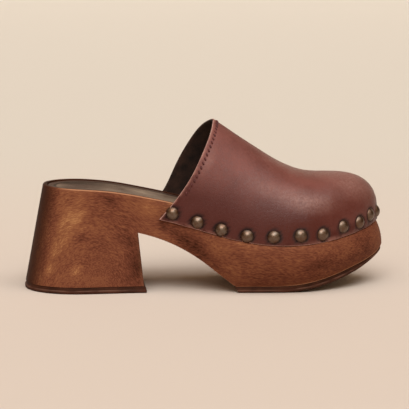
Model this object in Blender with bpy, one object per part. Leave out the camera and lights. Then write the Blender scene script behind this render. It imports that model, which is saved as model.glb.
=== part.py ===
"""Platform mule for the right foot: a studded leather clog upper on a carved wooden sole.

The sole is one block of wood, with a flared heel and a platform under the forefoot. Rubber covers
its two floor faces, an insole lies in its dished top, and domed nails hold the upper to its side.

X runs from heel to toe, Y from the outer side of the foot to the inner side, and Z up from the floor.
Sizes are in millimetres. The meshes are made in metres.
"""

import math
from collections import namedtuple

import bmesh
import bpy
import numpy as np
from mathutils import Matrix, Vector

MM = 0.001
OUTER = -1
INNER = 1
GAP = 0.3

# Footbed: the top of the wood, whose rim carries the upper
SEAT_REAR_X = -111.0
TOE_TIP_X = 121.0
SEAT_ROUND = 30.0
SEAT_FULLNESS = 2.2
EndRound = namedtuple("EndRound", "length fullness")
TOE_ROUND = {OUTER: EndRound(56.0, 1.7), INNER: EndRound(44.0, 1.9)}

FootbedSection = namedtuple("FootbedSection", "x rim_z axis_y outer inner")
FOOTBED = (
    FootbedSection(-111, 71.8, 0.0, 29.5, 28.5),
    FootbedSection(-90, 71.3, 0.0, 30.0, 29.0),
    FootbedSection(-65, 69.4, 0.0, 29.8, 28.3),
    FootbedSection(-45, 66.0, 0.0, 29.2, 26.8),
    FootbedSection(-25, 61.8, 0.0, 30.6, 26.8),
    FootbedSection(-5, 56.4, 0.0, 35.2, 30.0),
    FootbedSection(15, 50.8, 0.5, 40.6, 35.0),
    FootbedSection(35, 46.6, 1.7, 45.2, 38.3),
    FootbedSection(55, 45.0, 3.4, 47.6, 38.5),
    FootbedSection(75, 45.8, 5.8, 48.2, 37.2),
    FootbedSection(95, 48.5, 8.2, 48.0, 35.3),
    FootbedSection(110, 51.7, 9.4, 48.0, 33.5),
    FootbedSection(121, 54.5, 10.0, 48.0, 33.0),
)

# Pocket in the footbed for the insole, dished deeper along its middle
RIM_CHAMFER = 0.8
RIM_WIDTH = 2.0
POCKET_DEPTH = 3.4
POCKET_DRAFT = 0.2
DISH = 1.6
DISH_CROSS = 5
INSOLE_THICKNESS = 2.2
INSOLE_EDGE_ROUND = 0.8

# Heel: a block that flares from the seat to the floor
HEEL_REAR_FLARE = 13.0
HEEL_SIDE_FLARE = 5.5
HEEL_FULL_FLARE_X = -90.0
BREAST_SIDE_FLARE = 3.0
BREAST_X = -48.0
BREAST_TOP_Z = 41.4
BREAST_LEAN = 0.113

# Underside: a shank arc, a straight slope down to the platform, a flat and a toe spring
SHANK_START_ANGLE = 13.0
SLOPE_ANGLE = 38.0
SHANK_RADIUS = 122.0
SPRING_START_X = 45.0
SPRING_RADIUS = 143.0

# Side wall of the wood, as offsets from the rim: at the upper's edge, half way down and at the bottom
WallSection = namedtuple("WallSection", "x ledge belly foot")
WALL = (
    WallSection(-48, 0.0, 0.7, 1.2),
    WallSection(-25, 0.2, 0.4, 0.2),
    WallSection(-5, 1.2, 1.0, -1.8),
    WallSection(15, 2.0, 1.8, -4.6),
    WallSection(35, 2.2, 2.2, -7.0),
    WallSection(60, 2.2, 2.4, -7.0),
    WallSection(90, 2.0, 3.2, -4.2),
    WallSection(110, 2.0, 4.3, 1.2),
    WallSection(121, 2.0, 4.8, 4.7),
)
BELLY_SHARE = 0.45
INNER_TUCK = 0.6
BELOW_EDGE_SHARES = (0.2, 0.45, 0.7, 0.88, 1.0)
LEDGE_DROP = 0.8
RIM_LEAN = 1.2
WALL_BLEND_END_X = -28.0
LAYOUT_BLEND = (-70.0, -36.0)
COVERED_BLEND = (-42.0, -20.0)

# Rubber on the two floor faces, each with a proud lower band
HEEL_TIP_THICKNESS = 4.6
TIP_BREAST_PROUD = 1.2
OUTSOLE_THICKNESS = 4.0
OUTSOLE_TOE_THICKNESS = 2.2
OUTSOLE_TAPER_X = 98.0
OUTSOLE_BACK_RUN = 2.7
BAND_SHARE = 0.48
BAND_ROUND_SHARE = 0.25
BAND_PROUD = 0.6
BAND_INSET = 0.4

# Upper: a leather wall nailed round the rim, open at the collar and underneath
LEATHER = 2.0
LAP_AT_COLLAR = 13.0
LAP_AT_TOE = 10.0
LAP_BLEND = (-30.0, 100.0)
POLE_X = 85.0
TOE_CAP_FULLNESS = 2.65

RidgeSection = namedtuple("RidgeSection", "x z y fullness")
RIDGE = (
    RidgeSection(-40, 148.4, 1.0, 2.1),
    RidgeSection(-20, 134.4, 1.0, 2.1),
    RidgeSection(6.5, 115.8, 1.0, 2.1),
    RidgeSection(26.8, 101.9, 2.0, 2.2),
    RidgeSection(45.2, 90.2, 3.2, 2.3),
    RidgeSection(63.8, 81.7, 4.6, 2.4),
    RidgeSection(75, 79.3, 5.4, 2.5),
    RidgeSection(85, 78.9, 6.0, 2.55),
)

# Collar: its station on each side, from the lower edge (share 0) up the wall to the ridge (share 1)
CollarRow = namedtuple("CollarRow", "share outer inner")
COLLAR = (
    CollarRow(0.00, -33.2, -35.5),
    CollarRow(0.10, -24.5, -26.6),
    CollarRow(0.25, -13.7, -18.4),
    CollarRow(0.45, -4.2, -9.2),
    CollarRow(0.65, 2.1, -1.1),
    CollarRow(0.85, 5.3, 4.6),
    CollarRow(1.00, 6.5, 6.5),
)

# Studs: domed nail heads in one hand-set row, given as shares of the walk from collar to toe
# and heights above the upper's lower edge. The inner side repeats the row, a little stretched.
STUD_RADIUS = 4.65
STUD_HEIGHT = 2.4
STUD_SKIRT = 0.6
STUD_STEPS = 12
STUD_DOME_RINGS = 3
INNER_ROW_STRETCH = 1.09
StudPlace = namedtuple("StudPlace", "share height")
STUD_ROW = (
    StudPlace(0.049, 5.9),
    StudPlace(0.142, 4.5),
    StudPlace(0.227, 4.0),
    StudPlace(0.325, 3.9),
    StudPlace(0.421, 5.8),
    StudPlace(0.519, 6.2),
    StudPlace(0.607, 5.0),
    StudPlace(0.699, 6.6),
    StudPlace(0.790, 5.4),
    StudPlace(0.866, 6.8),
    StudPlace(0.962, 4.8),
)

# Mesh density
HEEL_STATIONS = 12
SHANK_STATIONS = 11
PLATFORM_STATIONS = 29
TOE_CLUSTER = 1.8
HEEL_ROWS = 5
OUTLINE_FINENESS = 6
UPPER_STATIONS = 22
UPPER_ROWS = 13
FAN_RIBS = 20


def mix(a, b, share):
    """The value a share of the way from a to b."""
    return a + (b - a) * share


def ease(value, start, end):
    """0 before start, 1 after end, and a smooth step between."""
    t = min(max((value - start) / (end - start), 0.0), 1.0)
    return t * t * (3 - 2 * t)


def smooth_curve(stations, values):
    """Returns a function: the natural cubic spline through the values, held level past its ends."""
    x = np.array(stations, float)
    y = np.array(values, float)
    span = np.diff(x)
    slope = np.diff(y) / span
    count = len(x)
    system = np.eye(count)
    target = np.zeros(count)
    for i in range(1, count - 1):
        system[i, i - 1 : i + 2] = span[i - 1], 2 * (span[i - 1] + span[i]), span[i]
        target[i] = 6 * (slope[i] - slope[i - 1])
    bend = np.linalg.solve(system, target)

    def at(position):
        p = min(max(position, x[0]), x[-1])
        i = min(max(int(np.searchsorted(x, p)) - 1, 0), count - 2)
        left = x[i + 1] - p
        right = p - x[i]
        curved = (bend[i] * left**3 + bend[i + 1] * right**3) / (6 * span[i])
        straight = (y[i] * left + y[i + 1] * right) / span[i]
        return curved + straight - (bend[i] * left + bend[i + 1] * right) * span[i] / 6

    return at


def column_curve(table, column, key="x"):
    """The spline of one named column of a table of sections."""
    return smooth_curve([getattr(row, key) for row in table], [getattr(row, column) for row in table])


rim_z = column_curve(FOOTBED, "rim_z")
axis_y = column_curve(FOOTBED, "axis_y")
half_width = {OUTER: column_curve(FOOTBED, "outer"), INNER: column_curve(FOOTBED, "inner")}
wall_ledge = column_curve(WALL, "ledge")
wall_belly = column_curve(WALL, "belly")
wall_foot = column_curve(WALL, "foot")
ridge_z = column_curve(RIDGE, "z")
ridge_y = column_curve(RIDGE, "y")
ridge_fullness = column_curve(RIDGE, "fullness")
collar_x = {OUTER: column_curve(COLLAR, "outer", "share"), INNER: column_curve(COLLAR, "inner", "share")}


def end_share(distance, length, fullness):
    """Share of the full width at a distance from a rounded end: a quarter of a superellipse."""
    inward = 1 - min(max(distance / length, 0.0), 1.0)
    return (1 - inward**fullness) ** (1 / fullness)


def rim_y(x, side, inset=0.0):
    """Y of the footbed's rim on one side at a station, or of a line inset from it."""
    toe = end_share(TOE_TIP_X - x, *TOE_ROUND[side])
    seat = end_share(x - SEAT_REAR_X, SEAT_ROUND, SEAT_FULLNESS)
    return axis_y(x) + side * (half_width[side](x) - inset) * toe * seat


def spring_z(x):
    """Height of the floor face above the floor: flat at the ball, then a parabola up to the toe."""
    return max(x - SPRING_START_X, 0.0) ** 2 / (2 * SPRING_RADIUS)


def outsole_thickness(x):
    return mix(OUTSOLE_THICKNESS, OUTSOLE_TOE_THICKNESS, ease(x, OUTSOLE_TAPER_X, TOE_TIP_X))


def shank_z(x):
    """Underside of the wood from the heel's breast: an arc, then a straight slope to the platform."""
    start = math.radians(SHANK_START_ANGLE)
    end = math.radians(SLOPE_ANGLE)
    turned = min(math.sin(start) + (x - BREAST_X) / SHANK_RADIUS, math.sin(end))
    fallen = SHANK_RADIUS * (math.cos(start) - math.cos(math.asin(turned)))
    arc_end_x = BREAST_X + SHANK_RADIUS * (math.sin(end) - math.sin(start))
    return BREAST_TOP_Z - fallen - max(x - arc_end_x, 0.0) * math.tan(end)


def slope_foot_x():
    """Station where the back slope meets the top of the outsole, found by halving."""
    low, high = BREAST_X, SPRING_START_X
    while high - low > 0.001:
        middle = (low + high) / 2
        if shank_z(middle) > OUTSOLE_THICKNESS + GAP:
            low = middle
        else:
            high = middle
    return high


PLATFORM_X = slope_foot_x()


def wood_bottom_z(x):
    """Underside of the wood in front of the heel."""
    if x < PLATFORM_X:
        return shank_z(x)
    return spring_z(x) + outsole_thickness(x) + GAP


def rim_stations(fineness=1):
    """Stations from the back of the seat to the toe, close together at both round ends."""
    heel_count = HEEL_STATIONS * fineness
    shank_count = SHANK_STATIONS * fineness
    platform_count = PLATFORM_STATIONS * fineness
    heel = [1 - math.cos(math.pi / 2 * k / heel_count) for k in range(heel_count)]
    shank = [k / shank_count for k in range(shank_count)]
    platform = [1 - (1 - k / platform_count) ** TOE_CLUSTER for k in range(platform_count + 1)]
    stations = [mix(SEAT_REAR_X, BREAST_X, t) for t in heel]
    stations += [mix(BREAST_X, PLATFORM_X, t) for t in shank]
    return stations + [mix(PLATFORM_X, TOE_TIP_X, t) for t in platform]


RimPoint = namedtuple("RimPoint", "x y normal_x normal_y side")


def rim_loop(stations):
    """The rim as a loop with outward normals: rear tip, outer side, toe tip, inner side."""
    points = [(x, rim_y(x, OUTER), OUTER) for x in stations]
    points += [(x, rim_y(x, INNER), INNER) for x in stations[-2:0:-1]]
    loop = []
    for i, (x, y, side) in enumerate(points):
        before = points[i - 1]
        after = points[(i + 1) % len(points)]
        along = Vector((after[0] - before[0], after[1] - before[1])).normalized()
        loop.append(RimPoint(x, y, along.y, -along.x, side))
    return loop


STATIONS = rim_stations()
LOOP = rim_loop(STATIONS)


def pushed(point, offset):
    """The plan position of a rim point pushed out along its normal."""
    return point.x + point.normal_x * offset, point.y + point.normal_y * offset


def covered_lean(x):
    """How far the rim leans in under the upper, which starts in front of the heel."""
    return RIM_LEAN * ease(x, *COVERED_BLEND)


def inside_rim(point, inset):
    """The plan position of a rim point brought in from the rim's shoulder."""
    total = inset + covered_lean(point.x)
    share = (point.x - SEAT_REAR_X) / (TOE_TIP_X - SEAT_REAR_X)
    x = mix(SEAT_REAR_X + total, TOE_TIP_X - total, share)
    return x, rim_y(point.x, point.side, total)


def lap(x):
    """How far the upper reaches down the side of the wood."""
    return mix(LAP_AT_COLLAR, LAP_AT_TOE, ease(x, *LAP_BLEND))


def upper_edge_z(x):
    return rim_z(x) - lap(x)


def foot_offset(point):
    """Offset of the wall's bottom edge. The inner side tucks in less than the outer."""
    foot = wall_foot(point.x)
    return foot * INNER_TUCK if point.side == INNER and foot < 0 else foot


def wall_offset(point, share):
    """Offset of the wall below the upper's edge: a parabola through ledge, belly and foot."""
    b = BELLY_SHARE
    at_ledge = wall_ledge(point.x) * (share - b) * (share - 1) / b
    at_belly = wall_belly(point.x) * share * (share - 1) / (b * (b - 1))
    at_foot = foot_offset(point) * share * (share - b) / (1 - b)
    return at_ledge + at_belly + at_foot


def heel_flare(x, z):
    """Sideways offset of the heel's wall, which grows from the rim to the floor."""
    at_floor = mix(BREAST_SIDE_FLARE, HEEL_SIDE_FLARE, ease(-x, -BREAST_X, -HEEL_FULL_FLARE_X))
    return at_floor * (1 - z / rim_z(x))


def heel_point(point, z):
    """A point of the heel's wall below one rim point. The back and the breast both lean out."""
    share = (point.x - SEAT_REAR_X) / (BREAST_X - SEAT_REAR_X)
    rear = SEAT_REAR_X - HEEL_REAR_FLARE * (1 - z / rim_z(SEAT_REAR_X))
    breast = BREAST_X + BREAST_LEAN * max(BREAST_TOP_Z - z, 0.0)
    width = abs(point.y) / half_width[point.side](point.x)
    return mix(rear, breast, share), point.y + point.side * width * heel_flare(point.x, z), z


def wall_column(point):
    """One column of the wood's wall, from the rim's shoulder to the underside or the heel's top."""
    on_heel = point.x <= BREAST_X
    top = rim_z(point.x)
    edge = upper_edge_z(point.x) - GAP
    below = edge - LEDGE_DROP
    bottom = BREAST_TOP_Z if on_heel else wood_bottom_z(pushed(point, foot_offset(point))[0])
    stepped = [top - RIM_CHAMFER, mix(top, edge, 0.5), edge, below]
    stepped += [mix(below, bottom, share) for share in BELOW_EDGE_SHARES]
    even = np.linspace(top - RIM_CHAMFER, bottom, len(stepped))
    lean = covered_lean(point.x)
    offsets = [-lean, -lean / 3, 0.0, wall_ledge(point.x)]
    offsets += [wall_offset(point, share) for share in BELOW_EDGE_SHARES]
    column = []
    for even_z, stepped_z, offset in zip(even, stepped, offsets):
        z = mix(even_z, stepped_z, ease(point.x, *LAYOUT_BLEND))
        if on_heel:
            column.append(heel_point(point, z))
            continue
        blended = mix(heel_flare(point.x, z), offset, ease(point.x, BREAST_X, WALL_BLEND_END_X))
        column.append((*pushed(point, blended), z))
    return column


def vertex(bm, position):
    return bm.verts.new(Vector(position) * MM)


def face(bm, *corners):
    """A face through the corners, with repeated ones left out."""
    kept = list(dict.fromkeys(corners))
    if len(kept) > 2:
        bm.faces.new(kept)


def bridge(bm, first, second, closed=True):
    """Quads between two rows of vertices."""
    count = len(first)
    for i in range(count if closed else count - 1):
        j = (i + 1) % count
        face(bm, first[i], first[j], second[j], second[i])


def stack(bm, rings):
    """Quads between each ring and the next."""
    for first, second in zip(rings, rings[1:]):
        bridge(bm, first, second)


def split_sides(ring):
    """The outer and inner items of a rim loop, station by station. The tips belong to both."""
    count = (len(ring) + 2) // 2
    return ring[:count], [ring[0], *ring[: count - 2 : -1]]


def strip_cap(bm, outer, inner):
    """A cap of straight strips from the outer to the inner side."""
    for k in range(len(outer) - 1):
        face(bm, outer[k], outer[k + 1], inner[k + 1], inner[k])


def dished_cap(bm, ring):
    """A cap over a whole rim loop, whose rows across the foot sag towards the middle."""
    full = 2 * half_width[OUTER](BREAST_X) * MM
    rows = []
    for left, right in zip(*split_sides(ring)):
        row = [left]
        for m in range(1, DISH_CROSS):
            share = m / DISH_CROSS
            width = min((right.co - left.co).length / full, 1.0)
            sag = Vector((0.0, 0.0, -DISH * MM * math.sin(math.pi * share) * width))
            row.append(left if left is right else bm.verts.new(left.co.lerp(right.co, share) + sag))
        rows.append([*row, right])
    for first, second in zip(rows, rows[1:]):
        bridge(bm, first, second, closed=False)


def mesh_from(name, bm, material, smooth_angle):
    """Turns a bmesh into a mesh, shaded smooth apart from its sharp edges."""
    bmesh.ops.recalc_face_normals(bm, faces=bm.faces)
    mesh = bpy.data.meshes.new(name)
    bm.to_mesh(mesh)
    bm.free()
    mesh.shade_smooth()
    mesh.set_sharp_from_angle(angle=math.radians(smooth_angle))
    mesh.materials.append(material)
    return mesh


def placed(name, mesh):
    made = bpy.data.objects.new(name, mesh)
    bpy.context.scene.collection.objects.link(made)
    return made


def make_material(name, colour, roughness, metallic=0.0):
    material = bpy.data.materials.new(name)
    material.use_nodes = True
    shader = material.node_tree.nodes["Principled BSDF"]
    shader.inputs["Base Color"].default_value = (*colour, 1.0)
    shader.inputs["Roughness"].default_value = roughness
    shader.inputs["Metallic"].default_value = metallic
    return material


def heel_order():
    """Places in the rim loop from the outer breast corner round the back to the inner one."""
    outer = list(range(HEEL_STATIONS, -1, -1))
    inner = [len(LOOP) - k for k in range(1, HEEL_STATIONS + 1)]
    return outer + inner


def heel_cap(bm, ring):
    """A flat cap over a ring that follows heel_order."""
    strip_cap(bm, ring[HEEL_STATIONS::-1], ring[HEEL_STATIONS:])


def make_wood_sole(material):
    """The carved block: pocketed footbed, rabbeted side wall, shank, platform and heel in one solid."""
    bm = bmesh.new()
    footbed = (
        (RIM_CHAMFER + RIM_WIDTH + POCKET_DRAFT, POCKET_DEPTH),
        (RIM_CHAMFER + RIM_WIDTH, 0.0),
        (RIM_CHAMFER, 0.0),
    )
    rings = []
    for inset, depth in footbed:
        rings.append([vertex(bm, (*inside_rim(p, inset), rim_z(p.x) - depth)) for p in LOOP])
    dished_cap(bm, rings[0])

    columns = [[vertex(bm, position) for position in wall_column(point)] for point in LOOP]
    rings += [list(ring) for ring in zip(*columns)]
    stack(bm, rings)
    outer, inner = split_sides(rings[-1])
    strip_cap(bm, outer[HEEL_STATIONS:], inner[HEEL_STATIONS:])

    heel_rings = [[rings[-1][i] for i in heel_order()]]
    for row in range(1, HEEL_ROWS + 1):
        z = mix(BREAST_TOP_Z, HEEL_TIP_THICKNESS + GAP, row / HEEL_ROWS)
        heel_rings.append([vertex(bm, heel_point(LOOP[i], z)) for i in heel_order()])
    for above, below in zip(heel_rings, heel_rings[1:]):
        bridge(bm, above, below)
    heel_cap(bm, heel_rings[-1])
    return placed("wood_sole", mesh_from("wood_sole", bm, material, 32.0))


def rubber_profile(thickness):
    """Height and offset of the rows of a rubber piece's side: a proud lower band, then an inset."""
    band = thickness * BAND_SHARE
    return (
        (0.0, 0.0),
        (band * BAND_ROUND_SHARE, BAND_PROUD),
        (band, BAND_PROUD),
        (band + BAND_INSET, -BAND_INSET),
        (thickness, -BAND_INSET),
    )


def make_heel_tip(material):
    """The rubber top piece under the heel, a little proud of the wood."""
    bm = bmesh.new()
    rings = []
    for z, offset in rubber_profile(HEEL_TIP_THICKNESS):
        ring = []
        for i in heel_order():
            point = LOOP[i]
            x, y, _ = heel_point(point, HEEL_TIP_THICKNESS)
            at_breast = point.x >= BREAST_X
            forward = TIP_BREAST_PROUD + offset if at_breast else point.normal_x * offset
            ring.append(vertex(bm, (x + forward, y + point.normal_y * offset, z)))
        rings.append(ring)
    stack(bm, rings)
    heel_cap(bm, rings[0])
    heel_cap(bm, rings[-1])
    return placed("heel_tip", mesh_from("heel_tip", bm, material, 40.0))


def make_forefoot_outsole(material):
    """The rubber under the platform: flat at the ball, then rising with the toe spring."""
    bm = bmesh.new()
    platform = [point for point in LOOP if point.x >= PLATFORM_X - GAP]
    toe = len(platform) // 2
    rings = []
    for row in range(len(rubber_profile(OUTSOLE_THICKNESS))):
        ring = []
        for i, point in enumerate(platform):
            foot_x, _ = pushed(point, foot_offset(point))
            thickness = outsole_thickness(foot_x)
            height, offset = rubber_profile(thickness)[row]
            x, y = pushed(point, foot_offset(point) + offset)
            if i in (0, len(platform) - 1):
                x = PLATFORM_X + OUTSOLE_BACK_RUN * (1 - height / thickness)
            ring.append(vertex(bm, (x, y, spring_z(foot_x) + height)))
        rings.append(ring)
    stack(bm, rings)
    for ring in (rings[0], rings[-1]):
        strip_cap(bm, ring[: toe + 1], ring[: toe - 1 : -1])
    return placed("forefoot_outsole", mesh_from("forefoot_outsole", bm, material, 40.0))


def make_insole(material):
    """The sock in the footbed's pocket, dished like its floor."""
    bm = bmesh.new()
    inset = RIM_CHAMFER + RIM_WIDTH + POCKET_DRAFT + GAP
    profile = (
        (0.0, inset),
        (INSOLE_THICKNESS - INSOLE_EDGE_ROUND, inset),
        (INSOLE_THICKNESS, inset + INSOLE_EDGE_ROUND),
    )
    rings = []
    for height, edge in profile:
        rise = GAP + height - POCKET_DEPTH
        rings.append([vertex(bm, (*inside_rim(p, edge), rim_z(p.x) + rise)) for p in LOOP])
    stack(bm, rings)
    dished_cap(bm, rings[0])
    dished_cap(bm, rings[-1])
    return placed("insole", mesh_from("insole", bm, material, 40.0))


def leather_outline():
    """The upper's outer face at its lower edge, for each side: arrays of x and y from heel to toe."""
    ring = [pushed(point, LEATHER + GAP) for point in rim_loop(rim_stations(OUTLINE_FINENESS))]
    outer, inner = split_sides(ring)
    return {OUTER: np.array(outer), INNER: np.array(inner)}


EDGE = leather_outline()


def edge_y(x, side):
    return float(np.interp(x, EDGE[side][:, 0], EDGE[side][:, 1]))


def arch_shares(share, fullness):
    """How far out and how far up a superellipse arch is, a share of the way from its foot to its top."""
    angle = share * math.pi / 2
    power = 2 / fullness
    return max(math.cos(angle), 0.0) ** power, math.sin(angle) ** power


def last_point(x, share, side):
    """The upper's outer face on one side, at a station and a share of the way up to the ridge."""
    across, up = arch_shares(share, ridge_fullness(x))
    return x, mix(ridge_y(x), edge_y(x, side), across), mix(upper_edge_z(x), ridge_z(x), up)


def fan_edge(angle):
    """The lower edge in front of the pole, in a direction in plan: 0 is straight ahead."""
    outer = EDGE[OUTER][EDGE[OUTER][:, 0] >= POLE_X]
    inner = EDGE[INNER][EDGE[INNER][:, 0] >= POLE_X]
    points = np.vstack([outer, inner[-2::-1]])
    bearings = np.arctan2(points[:, 1] - ridge_y(POLE_X), points[:, 0] - POLE_X)
    return float(np.interp(angle, bearings, points[:, 0])), float(np.interp(angle, bearings, points[:, 1]))


def toe_point(angle, share):
    """The toe cap's outer face: a rib from the lower edge up to the pole."""
    x_edge, y_edge = fan_edge(angle)
    fullness = mix(TOE_CAP_FULLNESS, ridge_fullness(POLE_X), math.sin(angle) ** 2)
    across, up = arch_shares(share, fullness)
    x = mix(POLE_X, x_edge, across)
    y = mix(ridge_y(POLE_X), y_edge, across)
    return x, y, mix(upper_edge_z(x_edge), ridge_z(POLE_X), up)


def make_upper(material):
    """The leather upper: one wall over the last, thickened inwards."""
    bm = bmesh.new()
    shares = [row / UPPER_ROWS for row in range(UPPER_ROWS + 1)]

    def half_section(back, side):
        return [last_point(mix(POLE_X, collar_x[side](share), back), share, side) for share in shares]

    sections = []
    for k in range(UPPER_STATIONS + 1):
        back = 1 - k / UPPER_STATIONS
        outer = [vertex(bm, position) for position in half_section(back, OUTER)]
        inner = [vertex(bm, position) for position in half_section(back, INNER)[:-1]]
        sections.append((outer, [*inner, outer[-1]]))
    for behind, ahead in zip(sections, sections[1:]):
        bridge(bm, behind[0], ahead[0], closed=False)
        bridge(bm, behind[1], ahead[1], closed=False)

    last_outer, last_inner = sections[-1]
    pole = last_outer[-1]
    ribs = [last_outer]
    for k in range(1, FAN_RIBS):
        angle = math.pi * (k / FAN_RIBS - 0.5)
        ribs.append([vertex(bm, toe_point(angle, share)) for share in shares[:-1]] + [pole])
    ribs.append(last_inner)
    for first, second in zip(ribs, ribs[1:]):
        bridge(bm, first, second, closed=False)

    upper = placed("upper", mesh_from("upper", bm, material, 40.0))
    wall = upper.modifiers.new("leather_thickness", "SOLIDIFY")
    wall.thickness = LEATHER * MM
    wall.offset = -1.0
    wall.use_even_offset = True
    wall.use_quality_normals = True
    return upper


def stud_mesh(material):
    """A domed nail head with a short skirt and a flat back, turned about Z."""
    bm = bmesh.new()
    profile = [(0.0, 0.0), (STUD_RADIUS, 0.0)]
    for ring in range(STUD_DOME_RINGS + 1):
        turn = math.pi / 2 * ring / STUD_DOME_RINGS
        rise = (STUD_HEIGHT - STUD_SKIRT) * math.sin(turn)
        profile.append((STUD_RADIUS * math.cos(turn), STUD_SKIRT + rise))
    points = [vertex(bm, (radius, 0.0, z)) for radius, z in profile]
    edges = [bm.edges.new(pair) for pair in zip(points, points[1:])]
    bmesh.ops.spin(bm, geom=points + edges, axis=(0, 0, 1), angle=math.tau, steps=STUD_STEPS)
    bmesh.ops.remove_doubles(bm, verts=bm.verts, dist=0.01 * MM)
    return mesh_from("stud", bm, material, 50.0)


def edge_walk(side):
    """The upper's lower edge on one side from the collar corner to the toe tip, with its length so far."""
    start = collar_x[side](0.0)
    ahead = EDGE[side][EDGE[side][:, 0] > start]
    points = np.vstack([[start, edge_y(start, side)], ahead])
    steps = np.hypot(*np.diff(points, axis=0).T)
    return points, np.concatenate([[0.0], np.cumsum(steps)])


def stud_matrix(side, share, height):
    """Where a stud sits: its flat back just clear of the leather, its axis along the wall's normal."""
    points, walked = edge_walk(side)

    def along(distance):
        return Vector((np.interp(distance, walked, points[:, 0]), np.interp(distance, walked, points[:, 1])))

    at = share * walked[-1]
    ahead = min(at + STUD_RADIUS, walked[-1])
    tangent = along(ahead) - along(at - STUD_RADIUS)
    out = Vector((-side * tangent.y, side * tangent.x, 0.0)).normalized()
    foot = along(at)
    seat = Vector((*foot, upper_edge_z(foot.x) + height)) + out * GAP
    return Matrix.Translation(seat * MM) @ out.to_track_quat("Z", "Y").to_matrix().to_4x4()


def make_studs(material):
    """The stud row: the outer side and the toe, then the inner side back to the collar."""
    mesh = stud_mesh(material)
    places = [(OUTER, place.share, place.height) for place in STUD_ROW]
    first = STUD_ROW[0].share
    for place in STUD_ROW[-2::-1]:
        places.append((INNER, mix(first, place.share, INNER_ROW_STRETCH), place.height))
    studs = []
    for number, place in enumerate(places, start=1):
        stud = placed(f"stud_{number:02d}", mesh)
        stud.matrix_world = stud_matrix(*place)
        studs.append(stud)
    return studs


def stand_on_origin(pieces):
    """Parents the pieces to an empty that puts the middle of the shoe's base at the origin."""
    bpy.context.view_layer.update()
    depsgraph = bpy.context.evaluated_depsgraph_get()
    corners = []
    for piece in pieces:
        ready = piece.evaluated_get(depsgraph)
        corners += [ready.matrix_world @ Vector(corner) for corner in ready.bound_box]
    low = [min(corner[axis] for corner in corners) for axis in range(3)]
    high = [max(corner[axis] for corner in corners) for axis in range(3)]
    root = bpy.data.objects.new("shoe", None)
    bpy.context.scene.collection.objects.link(root)
    root.location = (-(low[0] + high[0]) / 2, -(low[1] + high[1]) / 2, -low[2])
    for piece in pieces:
        piece.parent = root


def main():
    for old in list(bpy.data.objects):
        bpy.data.objects.remove(old)
    wood = make_material("stained_wood", (0.17, 0.065, 0.027), 0.45)
    leather = make_material("burgundy_leather", (0.11, 0.032, 0.027), 0.42)
    rubber = make_material("dark_rubber", (0.045, 0.025, 0.018), 0.7)
    sock = make_material("insole_leather", (0.10, 0.075, 0.055), 0.6)
    brass = make_material("antique_brass", (0.23, 0.17, 0.11), 0.35, metallic=1.0)
    pieces = [
        make_wood_sole(wood),
        make_heel_tip(rubber),
        make_forefoot_outsole(rubber),
        make_insole(sock),
        make_upper(leather),
        *make_studs(brass),
    ]
    stand_on_origin(pieces)


main()
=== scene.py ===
"""Dresses the platform mule: stained wood, oxblood leather, rubber treads, sock and domed studs.

Each sub-assembly repeats the part's own sizes at a finer pitch and adds what the solids leave out:
worked edges, pucker and creases in the leather, its lining and stitches, grain and patina.

Sizes are in millimetres, in the drawing frame of the part. X runs from heel to toe, Y from the
outer side of the foot to the inner side, and Z up from the floor. Meshes are made in metres.
"""

import logging
import math
import random
from bisect import bisect_left
from dataclasses import dataclass
from enum import Enum
from typing import Any, Iterable, Mapping, NamedTuple, Sequence, Union

import bmesh
import bpy
import numpy as np
from mathutils import Matrix, Vector
from mathutils import noise as fractal
from mathutils.bvhtree import BVHTree

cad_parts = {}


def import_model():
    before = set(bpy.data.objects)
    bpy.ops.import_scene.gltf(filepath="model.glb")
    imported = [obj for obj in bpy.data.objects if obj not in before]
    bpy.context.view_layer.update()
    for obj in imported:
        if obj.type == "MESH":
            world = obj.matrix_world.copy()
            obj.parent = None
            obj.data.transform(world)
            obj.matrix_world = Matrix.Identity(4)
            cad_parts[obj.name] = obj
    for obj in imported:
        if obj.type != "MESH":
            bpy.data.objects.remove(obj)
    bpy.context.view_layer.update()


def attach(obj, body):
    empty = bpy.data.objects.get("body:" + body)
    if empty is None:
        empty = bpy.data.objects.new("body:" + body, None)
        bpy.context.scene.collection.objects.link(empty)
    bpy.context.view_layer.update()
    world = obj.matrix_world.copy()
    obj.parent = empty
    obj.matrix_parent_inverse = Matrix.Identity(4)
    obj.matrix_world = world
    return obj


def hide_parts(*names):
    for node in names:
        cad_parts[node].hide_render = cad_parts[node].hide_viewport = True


LOG = logging.getLogger("platform_mule")

MM = 0.001
DRAWING_TO_FRAME = Vector((-1.266, 0.551, 0.0))
STITCH_INSET = 2.8

Position = tuple[float, float, float]
Colour = tuple[float, float, float]
Span = tuple[float, float]


class Side(Enum):
    """The two sides of a right shoe, signed along Y."""

    OUTER = -1
    INNER = 1


class Slot(Enum):
    """The names of the material slots."""

    WOOD = "stained_wood"
    RUBBER = "dark_rubber"
    SOCK = "insole_leather"
    LEATHER = "burgundy_leather"
    BRASS = "antique_brass"


class Wall(Enum):
    """The material places of the upper's mesh."""

    FACE = 0
    LINING = 1
    CUT_EDGE = 2


class EndRound(NamedTuple):
    """A rounded end of the footbed: a quarter of a superellipse."""

    length: float
    fullness: float


class FootbedRow(NamedTuple):
    """One station of the footbed's rim."""

    x: float
    rim_z: float
    axis_y: float
    outer: float
    inner: float


class WallRow(NamedTuple):
    """Offsets of the wood's side wall from the rim at one station."""

    x: float
    ledge: float
    belly: float
    foot: float


class RidgeRow(NamedTuple):
    """The upper's top line at one station."""

    x: float
    z: float
    y: float
    fullness: float


class CollarRow(NamedTuple):
    """The collar's station on each side, a share of the way up the wall."""

    share: float
    outer: float
    inner: float


class StudPlace(NamedTuple):
    """A stud's share of the walk from collar to toe and its height above the leather's edge."""

    share: float
    height: float


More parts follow.
